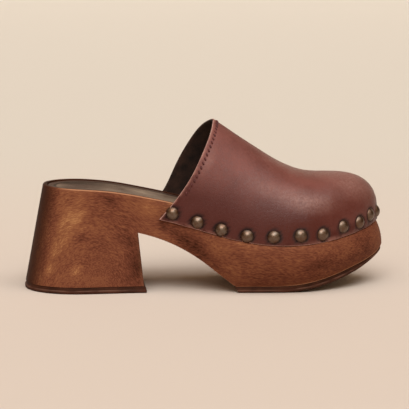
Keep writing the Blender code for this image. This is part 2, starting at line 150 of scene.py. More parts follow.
class RimPoint(NamedTuple):
    """A point of the footbed's rim in plan, with its outward normal."""

    x: float
    y: float
    normal_x: float
    normal_y: float
    side: Side


def mix(a: float, b: float, share: float) -> float:
    """The value a share of the way from a to b."""
    return a + (b - a) * share


def ease(value: float, start: float, end: float) -> float:
    """Steps smoothly from 0 to 1.

    Args:
        value: where to read the step.
        start: the last value that gives 0.
        end: the first value that gives 1.

    Returns:
        The height of the step.
    """
    t = min(max((value - start) / (end - start), 0.0), 1.0)
    return t * t * (3 - 2 * t)


def srgb(red: int, green: int, blue: int) -> Colour:
    """Turns a display colour into a linear one.

    Args:
        red: red from 0 to 255.
        green: green from 0 to 255.
        blue: blue from 0 to 255.

    Returns:
        The linear colour.
    """
    shares = (channel / 255 for channel in (red, green, blue))
    return tuple(s / 12.92 if s <= 0.04045 else ((s + 0.055) / 1.055) ** 2.4 for s in shares)


class Spline:
    """A natural cubic spline, held level past its ends."""

    def __init__(self, stations: Sequence[float], values: Sequence[float]) -> None:
        """Solves the spline's bends.

        Args:
            stations: rising positions.
            values: one value for each position.
        """
        x = np.array(stations, float)
        y = np.array(values, float)
        span = np.diff(x)
        slope = np.diff(y) / span
        count = len(x)
        system = np.eye(count)
        target = np.zeros(count)
        for i in range(1, count - 1):
            system[i, i - 1 : i + 2] = span[i - 1], 2 * (span[i - 1] + span[i]), span[i]
            target[i] = 6 * (slope[i] - slope[i - 1])
        self.x: list[float] = x.tolist()
        self.y: list[float] = y.tolist()
        self.bend: list[float] = np.linalg.solve(system, target).tolist()

    @classmethod
    def column(cls, table: Sequence[NamedTuple], name: str, key: str = "x") -> "Spline":
        """Makes the spline of one named column of a table.

        Args:
            table: the rows.
            name: the column of the values.
            key: the column of the positions.

        Returns:
            The spline.
        """
        return cls([getattr(row, key) for row in table], [getattr(row, name) for row in table])

    def __call__(self, position: float) -> float:
        """Reads the spline.

        Args:
            position: where to read it.

        Returns:
            The value there.
        """
        p = min(max(position, self.x[0]), self.x[-1])
        i = min(max(bisect_left(self.x, p) - 1, 0), len(self.x) - 2)
        span = self.x[i + 1] - self.x[i]
        left = self.x[i + 1] - p
        right = p - self.x[i]
        curved = (self.bend[i] * left**3 + self.bend[i + 1] * right**3) / (6 * span)
        straight = (self.y[i] * left + self.y[i + 1] * right) / span
        return curved + straight - (self.bend[i] * left + self.bend[i + 1] * right) * span / 6


FOOTBED = (
    FootbedRow(-111, 71.8, 0.0, 29.5, 28.5),
    FootbedRow(-90, 71.3, 0.0, 30.0, 29.0),
    FootbedRow(-65, 69.4, 0.0, 29.8, 28.3),
    FootbedRow(-45, 66.0, 0.0, 29.2, 26.8),
    FootbedRow(-25, 61.8, 0.0, 30.6, 26.8),
    FootbedRow(-5, 56.4, 0.0, 35.2, 30.0),
    FootbedRow(15, 50.8, 0.5, 40.6, 35.0),
    FootbedRow(35, 46.6, 1.7, 45.2, 38.3),
    FootbedRow(55, 45.0, 3.4, 47.6, 38.5),
    FootbedRow(75, 45.8, 5.8, 48.2, 37.2),
    FootbedRow(95, 48.5, 8.2, 48.0, 35.3),
    FootbedRow(110, 51.7, 9.4, 48.0, 33.5),
    FootbedRow(121, 54.5, 10.0, 48.0, 33.0),
)

WALL = (
    WallRow(-48, 0.0, 0.7, 1.2),
    WallRow(-25, 0.2, 0.4, 0.2),
    WallRow(-5, 1.2, 1.0, -1.8),
    WallRow(15, 2.0, 1.8, -4.6),
    WallRow(35, 2.2, 2.2, -7.0),
    WallRow(60, 2.2, 2.4, -7.0),
    WallRow(90, 2.0, 3.2, -4.2),
    WallRow(110, 1.9, 4.1, 1.4),
    WallRow(121, 1.4, 4.3, 5.6),
)

RIDGE = (
    RidgeRow(-40, 148.4, 1.0, 1.88),
    RidgeRow(-20, 134.4, 1.0, 1.88),
    RidgeRow(6.5, 115.8, 1.0, 1.9),
    RidgeRow(26.8, 101.9, 2.0, 2.0),
    RidgeRow(45.2, 90.1, 3.2, 2.2),
    RidgeRow(63.8, 81.0, 4.6, 2.4),
    RidgeRow(75, 78.5, 5.4, 2.5),
    RidgeRow(85, 78.1, 6.0, 2.55),
)

COLLAR = (
    CollarRow(0.00, -33.2, -35.5),
    CollarRow(0.10, -24.5, -27.2),
    CollarRow(0.25, -13.7, -19.2),
    CollarRow(0.45, -4.2, -9.8),
    CollarRow(0.65, 2.1, -1.7),
    CollarRow(0.85, 5.3, 4.5),
    CollarRow(1.00, 6.5, 6.5),
)

STUD_ROW = (
    StudPlace(0.045, 5.9),
    StudPlace(0.137, 4.5),
    StudPlace(0.226, 4.0),
    StudPlace(0.322, 3.9),
    StudPlace(0.422, 5.6),
    StudPlace(0.522, 6.2),
    StudPlace(0.612, 5.0),
    StudPlace(0.708, 6.5),
    StudPlace(0.800, 5.2),
    StudPlace(0.878, 6.6),
    StudPlace(0.962, 5.6),
)


@dataclass
class ShoeForm:
    """The carved block and the last over it, which every piece is built on."""

    seat_rear_x: float = -112.2
    toe_tip_x: float = 121.0
    seat_round: EndRound = EndRound(30.0, 2.2)
    toe_round_outer: EndRound = EndRound(56.0, 1.7)
    toe_round_inner: EndRound = EndRound(44.0, 1.9)
    heel_rear_flare: float = 13.0
    heel_side_flare: float = 5.5
    heel_full_flare_x: float = -90.0
    breast_side_flare: float = 3.0
    breast_x: float = -48.0
    breast_top_z: float = 41.4
    breast_lean: float = 0.113
    shank_start_angle: float = 13.0
    slope_angle: float = 38.0
    shank_radius: float = 122.0
    spring_start_x: float = 45.0
    spring_radius: float = 143.0
    outsole_thickness: float = 4.0
    outsole_toe_thickness: float = 2.2
    outsole_taper_x: float = 98.0
    heel_tip_thickness: float = 4.6
    belly_share: float = 0.45
    inner_tuck: float = 0.6
    rim_lean: float = 1.2
    covered_blend: Span = (-42.0, -20.0)
    leather: float = 2.0
    gap: float = 0.3
    glue_line: float = 0.1
    lap_at_collar: float = 13.0
    lap_at_toe: float = 10.0
    lap_blend: Span = (-30.0, 100.0)
    pole_x: float = 85.0
    toe_cap_fullness: float = 2.9
    heel_stations: int = 40
    shank_stations: int = 30
    platform_stations: int = 76
    toe_cluster: float = 1.8
    edge_fineness: int = 3
    halving_stop: float = 0.001

    def __post_init__(self) -> None:
        """Makes the splines, the rim and the leather's outline."""
        self.rim_z = Spline.column(FOOTBED, "rim_z")
        self.axis_y = Spline.column(FOOTBED, "axis_y")
        self.half_width = {side: Spline.column(FOOTBED, side.name.lower()) for side in Side}
        self.wall_ledge = Spline.column(WALL, "ledge")
        self.wall_belly = Spline.column(WALL, "belly")
        self.wall_foot = Spline.column(WALL, "foot")
        self.ridge_z = Spline.column(RIDGE, "z")
        self.ridge_y = Spline.column(RIDGE, "y")
        self.ridge_fullness = Spline.column(RIDGE, "fullness")
        self.collar_x = {side: Spline.column(COLLAR, side.name.lower(), "share") for side in Side}
        self.toe_round = {Side.OUTER: self.toe_round_outer, Side.INNER: self.toe_round_inner}
        self.platform_x = self.slope_foot_x()
        self.loop = self.rim_loop(self.rim_stations(1))
        edge_loop = self.rim_loop(self.rim_stations(self.edge_fineness))
        ring = [self.pushed(point, self.leather + self.gap) for point in edge_loop]
        outer, inner = self.split_sides(ring)
        self.edge = {Side.OUTER: np.array(outer), Side.INNER: np.array(inner)}
        front = self.edge[Side.OUTER][self.edge[Side.OUTER][:, 0] >= self.pole_x]
        back = self.edge[Side.INNER][self.edge[Side.INNER][:, 0] >= self.pole_x]
        self.fan = np.vstack([front, back[-2::-1]])
        from_pole = self.fan - np.array([self.pole_x, self.ridge_y(self.pole_x)])
        self.fan_bearings = np.arctan2(from_pole[:, 1], from_pole[:, 0])

    @staticmethod
    def end_share(distance: float, rounding: EndRound) -> float:
        """Reads a rounded end.

        Args:
            distance: distance from the end.
            rounding: the end's shape.

        Returns:
            The share of the full width there.
        """
        inward = 1 - min(max(distance / rounding.length, 0.0), 1.0)
        return (1 - inward**rounding.fullness) ** (1 / rounding.fullness)

    def rim_y(self, x: float, side: Side, inset: float = 0.0) -> float:
        """Reads the footbed's rim.

        Args:
            x: the station.
            side: the side of the shoe.
            inset: how far inside the rim to read.

        Returns:
            Y of the rim, or of a line inset from it.
        """
        toe = self.end_share(self.toe_tip_x - x, self.toe_round[side])
        seat = self.end_share(x - self.seat_rear_x, self.seat_round)
        return self.axis_y(x) + side.value * (self.half_width[side](x) - inset) * toe * seat

    def spring_z(self, x: float) -> float:
        """Height of the tread above the floor at a station."""
        return max(x - self.spring_start_x, 0.0) ** 2 / (2 * self.spring_radius)

    def tread_thickness(self, x: float) -> float:
        """Thickness of the forefoot's rubber at a station."""
        tapered = ease(x, self.outsole_taper_x, self.toe_tip_x)
        return mix(self.outsole_thickness, self.outsole_toe_thickness, tapered)

    def shank_z(self, x: float) -> float:
        """Reads the underside from the breast: an arc, then a straight slope to the platform.

        Args:
            x: the station.

        Returns:
            The height of the underside.
        """
        start = math.radians(self.shank_start_angle)
        end = math.radians(self.slope_angle)
        turned = min(math.sin(start) + (x - self.breast_x) / self.shank_radius, math.sin(end))
        fallen = self.shank_radius * (math.cos(start) - math.cos(math.asin(turned)))
        arc_end_x = self.breast_x + self.shank_radius * (math.sin(end) - math.sin(start))
        return self.breast_top_z - fallen - max(x - arc_end_x, 0.0) * math.tan(end)

    def slope_foot_x(self) -> float:
        """Finds the station where the back slope meets the top of the outsole, by halving.

        Returns:
            The station.
        """
        low, high = self.breast_x, self.spring_start_x
        while high - low > self.halving_stop:
            middle = (low + high) / 2
            if self.shank_z(middle) > self.outsole_thickness + self.gap:
                low = middle
            else:
                high = middle
        return high

    def wood_bottom_z(self, x: float) -> float:
        """Reads the wood's underside in front of the heel.

        Args:
            x: the station.

        Returns:
            Its height.
        """
        if x < self.platform_x:
            return self.shank_z(x)
        return self.spring_z(x) + self.tread_thickness(x) + self.glue_line

    def rim_stations(self, fineness: int) -> list[float]:
        """Lists the stations from the seat's back to the toe, close together at both ends.

        Args:
            fineness: a factor on the number of stations.

        Returns:
            The stations, rising.
        """
        heel_count = self.heel_stations * fineness
        shank_count = self.shank_stations * fineness
        platform_count = self.platform_stations * fineness
        stations = []
        for k in range(heel_count):
            share = 1 - math.cos(math.pi / 2 * k / heel_count)
            stations.append(mix(self.seat_rear_x, self.breast_x, share))
        for k in range(shank_count):
            stations.append(mix(self.breast_x, self.platform_x, k / shank_count))
        for k in range(platform_count + 1):
            share = 1 - (1 - k / platform_count) ** self.toe_cluster
            stations.append(mix(self.platform_x, self.toe_tip_x, share))
        return stations

    def rim_loop(self, stations: Sequence[float]) -> list[RimPoint]:
        """Walks the rim from the rear tip along the outer side to the toe and back.

        Args:
            stations: the stations of each side.

        Returns:
            The rim's points, with outward normals.
        """
        points = [(x, self.rim_y(x, Side.OUTER), Side.OUTER) for x in stations]
        points += [(x, self.rim_y(x, Side.INNER), Side.INNER) for x in stations[-2:0:-1]]
        loop = []
        for i, (x, y, side) in enumerate(points):
            before = points[i - 1]
            after = points[(i + 1) % len(points)]
            along = Vector((after[0] - before[0], after[1] - before[1])).normalized()
            loop.append(RimPoint(x, y, along.y, -along.x, side))
        return loop

    @staticmethod
    def split_sides(ring: Sequence[Any]) -> tuple[list[Any], list[Any]]:
        """Splits a rim loop into its sides, station by station. The tips belong to both.

        Args:
            ring: one item for each rim point.

        Returns:
            The outer items and the inner items, from heel to toe.
        """
        count = (len(ring) + 2) // 2
        return list(ring[:count]), [ring[0], *ring[: count - 2 : -1]]

    @staticmethod
    def pushed(point: RimPoint, offset: float) -> tuple[float, float]:
        """The plan position of a rim point pushed out along its normal."""
        return point.x + point.normal_x * offset, point.y + point.normal_y * offset

    def covered_lean(self, x: float) -> float:
        """How far the rim leans in under the upper at a station."""
        return self.rim_lean * ease(x, *self.covered_blend)

    def inside_rim(self, point: RimPoint, inset: float) -> tuple[float, float]:
        """Brings a rim point in from the rim's shoulder.

        Args:
            point: the rim point.
            inset: how far to bring it in.

        Returns:
            Its plan position.
        """
        total = inset + self.covered_lean(point.x)
        share = (point.x - self.seat_rear_x) / (self.toe_tip_x - self.seat_rear_x)
        x = mix(self.seat_rear_x + total, self.toe_tip_x - total, share)
        return x, self.rim_y(point.x, point.side, total)

    def inset_loop(self, inset: float, rise: float) -> list[Position]:
        """The points of a loop inside the rim and above it."""
        return [(*self.inside_rim(p, inset), self.rim_z(p.x) + rise) for p in self.loop]

    def upper_edge_z(self, x: float) -> float:
        """Height of the upper's lower edge at a station."""
        return self.rim_z(x) - mix(self.lap_at_collar, self.lap_at_toe, ease(x, *self.lap_blend))

    def foot_offset(self, point: RimPoint) -> float:
        """Offset of the wall's bottom edge, which tucks in less on the inner side."""
        foot = self.wall_foot(point.x)
        return foot * self.inner_tuck if point.side is Side.INNER and foot < 0 else foot

    def wall_offset(self, point: RimPoint, share: float) -> float:
        """Reads the wall below the upper's edge: a parabola through ledge, belly and foot.

        Args:
            point: the rim point above.
            share: 0 at the upper's edge, 1 at the bottom.

        Returns:
            The wall's offset from the rim.
        """
        b = self.belly_share
        at_ledge = self.wall_ledge(point.x) * (share - b) * (share - 1) / b
        at_belly = self.wall_belly(point.x) * share * (share - 1) / (b * (b - 1))
        at_foot = self.foot_offset(point) * share * (share - b) / (1 - b)
        return at_ledge + at_belly + at_foot

    def heel_flare(self, x: float, z: float) -> float:
        """Reads the sideways flare of the heel's wall, which grows from the rim to the floor.

        Args:
            x: the station.
            z: the height.

        Returns:
            The wall's offset from the rim.
        """
        share = ease(-x, -self.breast_x, -self.heel_full_flare_x)
        at_floor = mix(self.breast_side_flare, self.heel_side_flare, share)
        return at_floor * (1 - z / self.rim_z(x))

    def heel_point(self, point: RimPoint, z: float) -> Position:
        """Finds a point of the heel's wall below a rim point.

        Args:
            point: the rim point above.
            z: the height.

        Returns:
            The point.
        """
        share = (point.x - self.seat_rear_x) / (self.breast_x - self.seat_rear_x)
        rear = self.seat_rear_x - self.heel_rear_flare * (1 - z / self.rim_z(self.seat_rear_x))
        breast = self.breast_x + self.breast_lean * max(self.breast_top_z - z, 0.0)
        width = abs(point.y) / self.half_width[point.side](point.x)
        y = point.y + point.side.value * width * self.heel_flare(point.x, z)
        return mix(rear, breast, share), y, z

    def heel_order(self) -> list[int]:
        """Places in the rim loop from the outer breast corner round the back to the inner one."""
        outer = list(range(self.heel_stations, -1, -1))
        return outer + [len(self.loop) - k for k in range(1, self.heel_stations + 1)]

    def edge_y(self, x: float, side: Side) -> float:
        """Y of the upper's outer face at its lower edge."""
        return float(np.interp(x, self.edge[side][:, 0], self.edge[side][:, 1]))

    @staticmethod
    def arch_shares(share: float, fullness: float) -> tuple[float, float]:
        """Reads a superellipse arch.

        Args:
            share: the share of the way from its foot to its top.
            fullness: its exponent.

        Returns:
            How far out and how far up the arch is.
        """
        angle = share * math.pi / 2
        power = 2 / fullness
        return max(math.cos(angle), 0.0) ** power, math.sin(angle) ** power

    def last_point(self, x: float, share: float, side: Side) -> Position:
        """Finds a point of the upper's outer face behind the toe cap.

        Args:
            x: the station.
            share: the share of the way from the lower edge up to the ridge.
            side: the side of the shoe.

        Returns:
            The point.
        """
        across, up = self.arch_shares(share, self.ridge_fullness(x))
        y = mix(self.ridge_y(x), self.edge_y(x, side), across)
        return x, y, mix(self.upper_edge_z(x), self.ridge_z(x), up)

    def toe_point(self, angle: float, share: float) -> Position:
        """Finds a point of the toe cap's outer face, on a rib from the lower edge to the pole.

        Args:
            angle: the rib's direction in plan, 0 straight ahead.
            share: the share of the way up the rib.

        Returns:
            The point.
        """
        x_edge = float(np.interp(angle, self.fan_bearings, self.fan[:, 0]))
        y_edge = float(np.interp(angle, self.fan_bearings, self.fan[:, 1]))
        aside = math.sin(angle) ** 2
        fullness = mix(self.toe_cap_fullness, self.ridge_fullness(self.pole_x), aside)
        across, up = self.arch_shares(share, fullness)
        y = mix(self.ridge_y(self.pole_x), y_edge, across)
        z = mix(self.upper_edge_z(x_edge), self.ridge_z(self.pole_x), up)
        return mix(self.pole_x, x_edge, across), y, z


class MeshMaker:
    """Collects a piece's vertices and faces in drawing millimetres."""

    def __init__(self) -> None:
        """Starts an empty mesh."""
        self.bm = bmesh.new()

    def layer(self, name: str) -> Any:
        """Adds a number to every vertex, for the finishes to read."""
        return self.bm.verts.layers.float.new(name)

    def vertex(self, position: Iterable[float]) -> bmesh.types.BMVert:
        """Adds a vertex at a drawing position."""
        return self.bm.verts.new((Vector(position) + DRAWING_TO_FRAME) * MM)

    def ring(self, positions: Iterable[Iterable[float]]) -> list[bmesh.types.BMVert]:
        """Adds a row of vertices."""
        return [self.vertex(position) for position in positions]

    def face(self, *corners: bmesh.types.BMVert, place: int = 0) -> None:
        """Adds a face, with repeated corners left out.

        Args:
            corners: its vertices in order.
            place: its material place.
        """
        kept = list(dict.fromkeys(corners))
        if len(kept) > 2:
            self.bm.faces.new(kept).material_index = place

    def bridge(
        self, first: Sequence[Any], second: Sequence[Any], closed: bool = True, place: int = 0
    ) -> None:
        """Adds quads between two rows of vertices.

        Args:
            first: the first row.
            second: the second row, of the same length.
            closed: whether the rows are rings.
            place: the material place.
        """
        count = len(first)
        for i in range(count if closed else count - 1):
            j = (i + 1) % count
            self.face(first[i], first[j], second[j], second[i], place=place)

    def stack(self, rings: Sequence[Sequence[Any]]) -> None:
        """Adds quads between each ring and the next."""
        for first, second in zip(rings, rings[1:]):
            self.bridge(first, second)

    def strip_cap(self, outer: Sequence[Any], inner: Sequence[Any]) -> None:
        """Adds a cap of straight strips from the outer to the inner side."""
        for k in range(len(outer) - 1):
            self.face(outer[k], outer[k + 1], inner[k + 1], inner[k])

    def finish(
        self, name: str, materials: Sequence[bpy.types.Material], sharp_angle: float
    ) -> bpy.types.Object:
        """Turns the mesh into a piece of the scene.

        Args:
            name: the piece's name.
            materials: its materials, in place order.
            sharp_angle: edges that turn further than this stay sharp, in degrees.

        Returns:
            The piece.
        """
        bmesh.ops.recalc_face_normals(self.bm, faces=self.bm.faces)
        mesh = bpy.data.meshes.new(name)
        self.bm.to_mesh(mesh)
        self.bm.free()
        mesh.shade_smooth()
        mesh.set_sharp_from_angle(angle=math.radians(sharp_angle))
        for material in materials:
            mesh.materials.append(material)
        piece = bpy.data.objects.new(name, mesh)
        bpy.context.scene.collection.objects.link(piece)
        return piece


def fit(piece: bpy.types.Object, slot: Slot, *nodes: str) -> bpy.types.Object:
    """Fits a piece to the shoe.

    Args:
        piece: the piece.
        slot: not used.
        nodes: the CAD nodes that it stands for.

    Returns:
        The piece.
    """
    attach(piece, "root")
    if nodes:
        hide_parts(*nodes)
    return piece


class Signal:
    """A shader socket that takes part in Python arithmetic by adding Math nodes."""

    def __init__(self, graph: "Graph", socket: bpy.types.NodeSocket) -> None:
        """Wraps an output socket of a graph."""
        self.graph = graph
        self.socket = socket

    def __add__(self, other: "Number") -> "Signal":
        """The sum."""
        return self.graph.math("ADD", self, other)

    def __radd__(self, other: float) -> "Signal":
        """The sum, number first."""
        return self.graph.math("ADD", other, self)

    def __sub__(self, other: "Number") -> "Signal":
        """The difference."""
        return self.graph.math("SUBTRACT", self, other)

    def __rsub__(self, other: float) -> "Signal":
        """The difference, number first."""
        return self.graph.math("SUBTRACT", other, self)

    def __mul__(self, other: "Number") -> "Signal":
        """The product."""
        return self.graph.math("MULTIPLY", self, other)

    def __rmul__(self, other: float) -> "Signal":
        """The product, number first."""
        return self.graph.math("MULTIPLY", other, self)


Number = Union[float, Signal]
Input = Union[float, str, Sequence[float], Signal]


class Stroke(NamedTuple):
    """A soft stroke: stain on the wood or painted sheen on the leather."""

    centre: Position
    reach: Position
    slant: float
    tone: float


class Graph:
    """The node graph of one material."""

    def __init__(self, name: str) -> None:
        """Starts a material with its own surface shader.

        Args:
            name: the material's name.
        """
        self.material = bpy.data.materials.new(name)
        self.material.use_nodes = True
        self.tree = self.material.node_tree
        self.shader = self.tree.nodes["Principled BSDF"]

    def plug(self, socket: bpy.types.NodeSocket, value: Input) -> None:
        """Links a signal to a socket, or sets its own value.

        Args:
            socket: an input socket.
            value: a signal, a number or a colour.
        """
        if isinstance(value, Signal):
            self.tree.links.new(value.socket, socket)
        elif socket.type == "RGBA":
            socket.default_value = (*value, 1.0)
        else:
            socket.default_value = value

    def node(
        self,
        kind: str,
        settings: Mapping[str, Any],
        inputs: Mapping[Union[str, int], Input],
        output: Union[str, int] = 0,
    ) -> Signal:
        """Adds a node.

        Args:
            kind: the node's type.
            settings: its own settings, with a ramp's stops as (place, colour) pairs.
            inputs: the values or links of its sockets.
            output: the socket to read.

        Returns:
            The output.
        """
        made = self.tree.nodes.new(kind)
        for name, value in settings.items():
            if name == "stops":
                while len(made.color_ramp.elements) < len(value):
                    made.color_ramp.elements.new(1.0)
                for element, (place, colour) in zip(made.color_ramp.elements, value):
                    element.position = place
                    element.color = (*colour, 1.0)
            else:
                setattr(made, name, value)
        for key, value in inputs.items():
            self.plug(made.inputs[key], value)
        return Signal(self, made.outputs[output])

    def math(self, operation: str, first: Number, second: Number) -> Signal:
        """Adds a Math node on two values."""
        return self.node("ShaderNodeMath", {"operation": operation}, {0: first, 1: second})

    def position(self) -> Signal:
        """Where a point is on the shoe, in millimetres."""
        place = self.node("ShaderNodeTexCoord", {}, {}, "Object")
        return self.vector("SCALE", place, scale=1 / MM)

    def vector(
        self,
        operation: str,
        first: Input,
        second: Input = (0.0, 0.0, 0.0),
        scale: float = 1.0,
    ) -> Signal:
        """Adds a Vector Math node.

        Args:
            operation: its operation.
            first: the first vector.
            second: the second vector.
            scale: the factor of the scale operation.

        Returns:
            The vector.
        """
        inputs = {0: first, "Scale": scale} if operation == "SCALE" else {0: first, 1: second}
        return self.node("ShaderNodeVectorMath", {"operation": operation}, inputs)

    def turned(self, place: Signal, degrees: float) -> Signal:
        """Turns a position about the Y axis."""
        inputs = {"Vector": place, "Axis": (0.0, 1.0, 0.0), "Angle": math.radians(degrees)}
        return self.node("ShaderNodeVectorRotate", {"rotation_type": "AXIS_ANGLE"}, inputs)

    def noise(
        self, place: Signal, size: Union[float, Position], detail: float, rough: float = 0.5
    ) -> Signal:
        """Adds a cloud of noise.

        Args:
            place: the position to read it at.
            size: the size of its lumps, all round or along each axis.
            detail: how many finer layers it has.
            rough: how strong they are.

        Returns:
            The noise, around one half.
        """
        sizes = size if isinstance(size, tuple) else (size, size, size)
        scaled = self.vector("DIVIDE", place, sizes)
        inputs = {"Vector": scaled, "Scale": 1.0, "Detail": detail, "Roughness": rough}
        return self.node("ShaderNodeTexNoise", {}, inputs)

    def cells(self, place: Signal, size: float) -> Signal:
        """The distance to the nearest border of a pattern of cells, in cell sizes."""
        settings = {"feature": "DISTANCE_TO_EDGE"}
        return self.node("ShaderNodeTexVoronoi", settings, {"Vector": place, "Scale": 1 / size})

    def step(self, value: Signal, start: float, end: float) -> Signal:
        """Steps smoothly from 0 at the start to 1 at the end.

        Args:
            value: the value to read.
            start: the value that gives 0.
            end: the value that gives 1.

        Returns:
            The step.
        """
        inputs = {"Value": value, "From Min": start, "From Max": end}
        return self.node("ShaderNodeMapRange", {"interpolation_type": "SMOOTHSTEP"}, inputs)

    def patch(self, away: Signal, reach: Position) -> Signal:
        """Marks a soft patch.

        Args:
            away: the position, counted from the patch's middle.
            reach: its half sizes along each axis.

        Returns:
            1 in the middle, 0 outside.
        """
        scaled = self.vector("DIVIDE", away, reach)
        length = self.node("ShaderNodeVectorMath", {"operation": "LENGTH"}, {0: scaled}, "Value")
        return self.step(length, 1.0, 0.0)

    def strokes(self, place: Signal, table: Sequence[Stroke]) -> Number:
        """Lays soft strokes over one another.

        Args:
            place: the position on the shoe.
            table: the strokes.

        Returns:
            The sum of their tones.
        """
        total: Number = 0.0
        for stroke in table:
            away = self.turned(self.vector("SUBTRACT", place, stroke.centre), stroke.slant)
            total = total + stroke.tone * self.patch(away, stroke.reach)
        return total

    def axis(self, place: Signal, name: str) -> Signal:
        """One axis of a position."""
        return self.node("ShaderNodeSeparateXYZ", {}, {0: place}, name)

    def attribute(self, name: str) -> Signal:
        """A number that the mesh carries."""
        return self.node("ShaderNodeAttribute", {"attribute_name": name}, {}, "Fac")

    def ramp(self, value: Signal, stops: Sequence[tuple[float, Colour]]) -> Signal:
        """A colour picked by a value from a row of stops."""
        return self.node("ShaderNodeValToRGB", {"stops": stops}, {"Fac": value})

    def blend(self, share: Number, first: Input, second: Input) -> Signal:
        """Mixes two colours.

        Args:
            share: the share of the second.
            first: the first colour.
            second: the second colour.

        Returns:
            The colour.
        """
        settings = {"data_type": "RGBA", "blend_type": "MIX"}
        return self.node("ShaderNodeMix", settings, {0: share, 6: first, 7: second}, 2)

    def bump(self, height: Signal, depth: float, strength: float) -> Signal:
        """A normal that follows a height of a given depth in millimetres."""
        inputs = {"Strength": strength, "Distance": depth * MM, "Height": height}
        return self.node("ShaderNodeBump", {}, inputs)

    def surface(self, inputs: Mapping[str, Input]) -> bpy.types.Material:
        """Plugs the surface shader.

        Args:
            inputs: the values or links of its sockets.

        Returns:
            The material.
        """
        for name, value in inputs.items():
            self.plug(self.shader.inputs[name], value)
        return self.material


STAINS = (
    Stroke((-98.0, -29.0, 44.0), (40.0, 26.0, 12.0), 68.0, 0.16),
    Stroke((-90.5, -30.0, 53.0), (10.0, 26.0, 6.0), 52.0, 0.12),
    Stroke((-101.0, -28.0, 49.0), (9.0, 26.0, 5.0), 60.0, 0.12),
    Stroke((-106.0, -27.0, 29.0), (12.0, 24.0, 5.0), 66.0, 0.14),
    Stroke((-109.0, -26.0, 16.0), (9.0, 24.0, 5.0), 62.0, 0.18),
    Stroke((-101.0, -25.0, 62.0), (12.0, 22.0, 7.0), 80.0, 0.12),
    Stroke((-92.5, -33.0, 15.5), (8.0, 20.0, 2.8), 40.0, 0.18),
    Stroke((-88.0, -30.0, 39.0), (12.0, 24.0, 6.0), 32.0, -0.16),
    Stroke((-44.0, -29.0, 58.0), (18.0, 26.0, 10.0), -20.0, 0.16),
    Stroke((-70.0, -30.0, 65.0), (13.0, 22.0, 6.0), -20.0, -0.16),
    Stroke((-57.0, -31.0, 38.0), (12.0, 24.0, 7.0), -30.0, -0.14),
    Stroke((-48.0, -31.0, 21.0), (14.0, 26.0, 27.0), 0.0, -0.24),
    Stroke((-33.0, -30.0, 46.0), (13.0, 24.0, 7.0), -30.0, -0.16),
    Stroke((-13.0, -33.0, 33.0), (34.0, 28.0, 11.0), -37.0, -0.26),
    Stroke((33.0, -46.0, 31.0), (18.0, 22.0, 5.0), 2.0, 0.06),
    Stroke((12.0, -42.0, 36.0), (15.0, 22.0, 5.0), -12.0, 0.03),
    Stroke((46.0, -46.0, 10.0), (46.0, 26.0, 10.0), 0.0, -0.09),
    Stroke((78.0, -42.0, 21.0), (20.0, 24.0, 8.0), 12.0, -0.16),
    Stroke((95.0, -30.0, 20.0), (15.0, 24.0, 7.0), 25.0, -0.14),
    Stroke((106.0, -18.0, 30.0), (28.0, 30.0, 18.0), 20.0, -0.07),
)


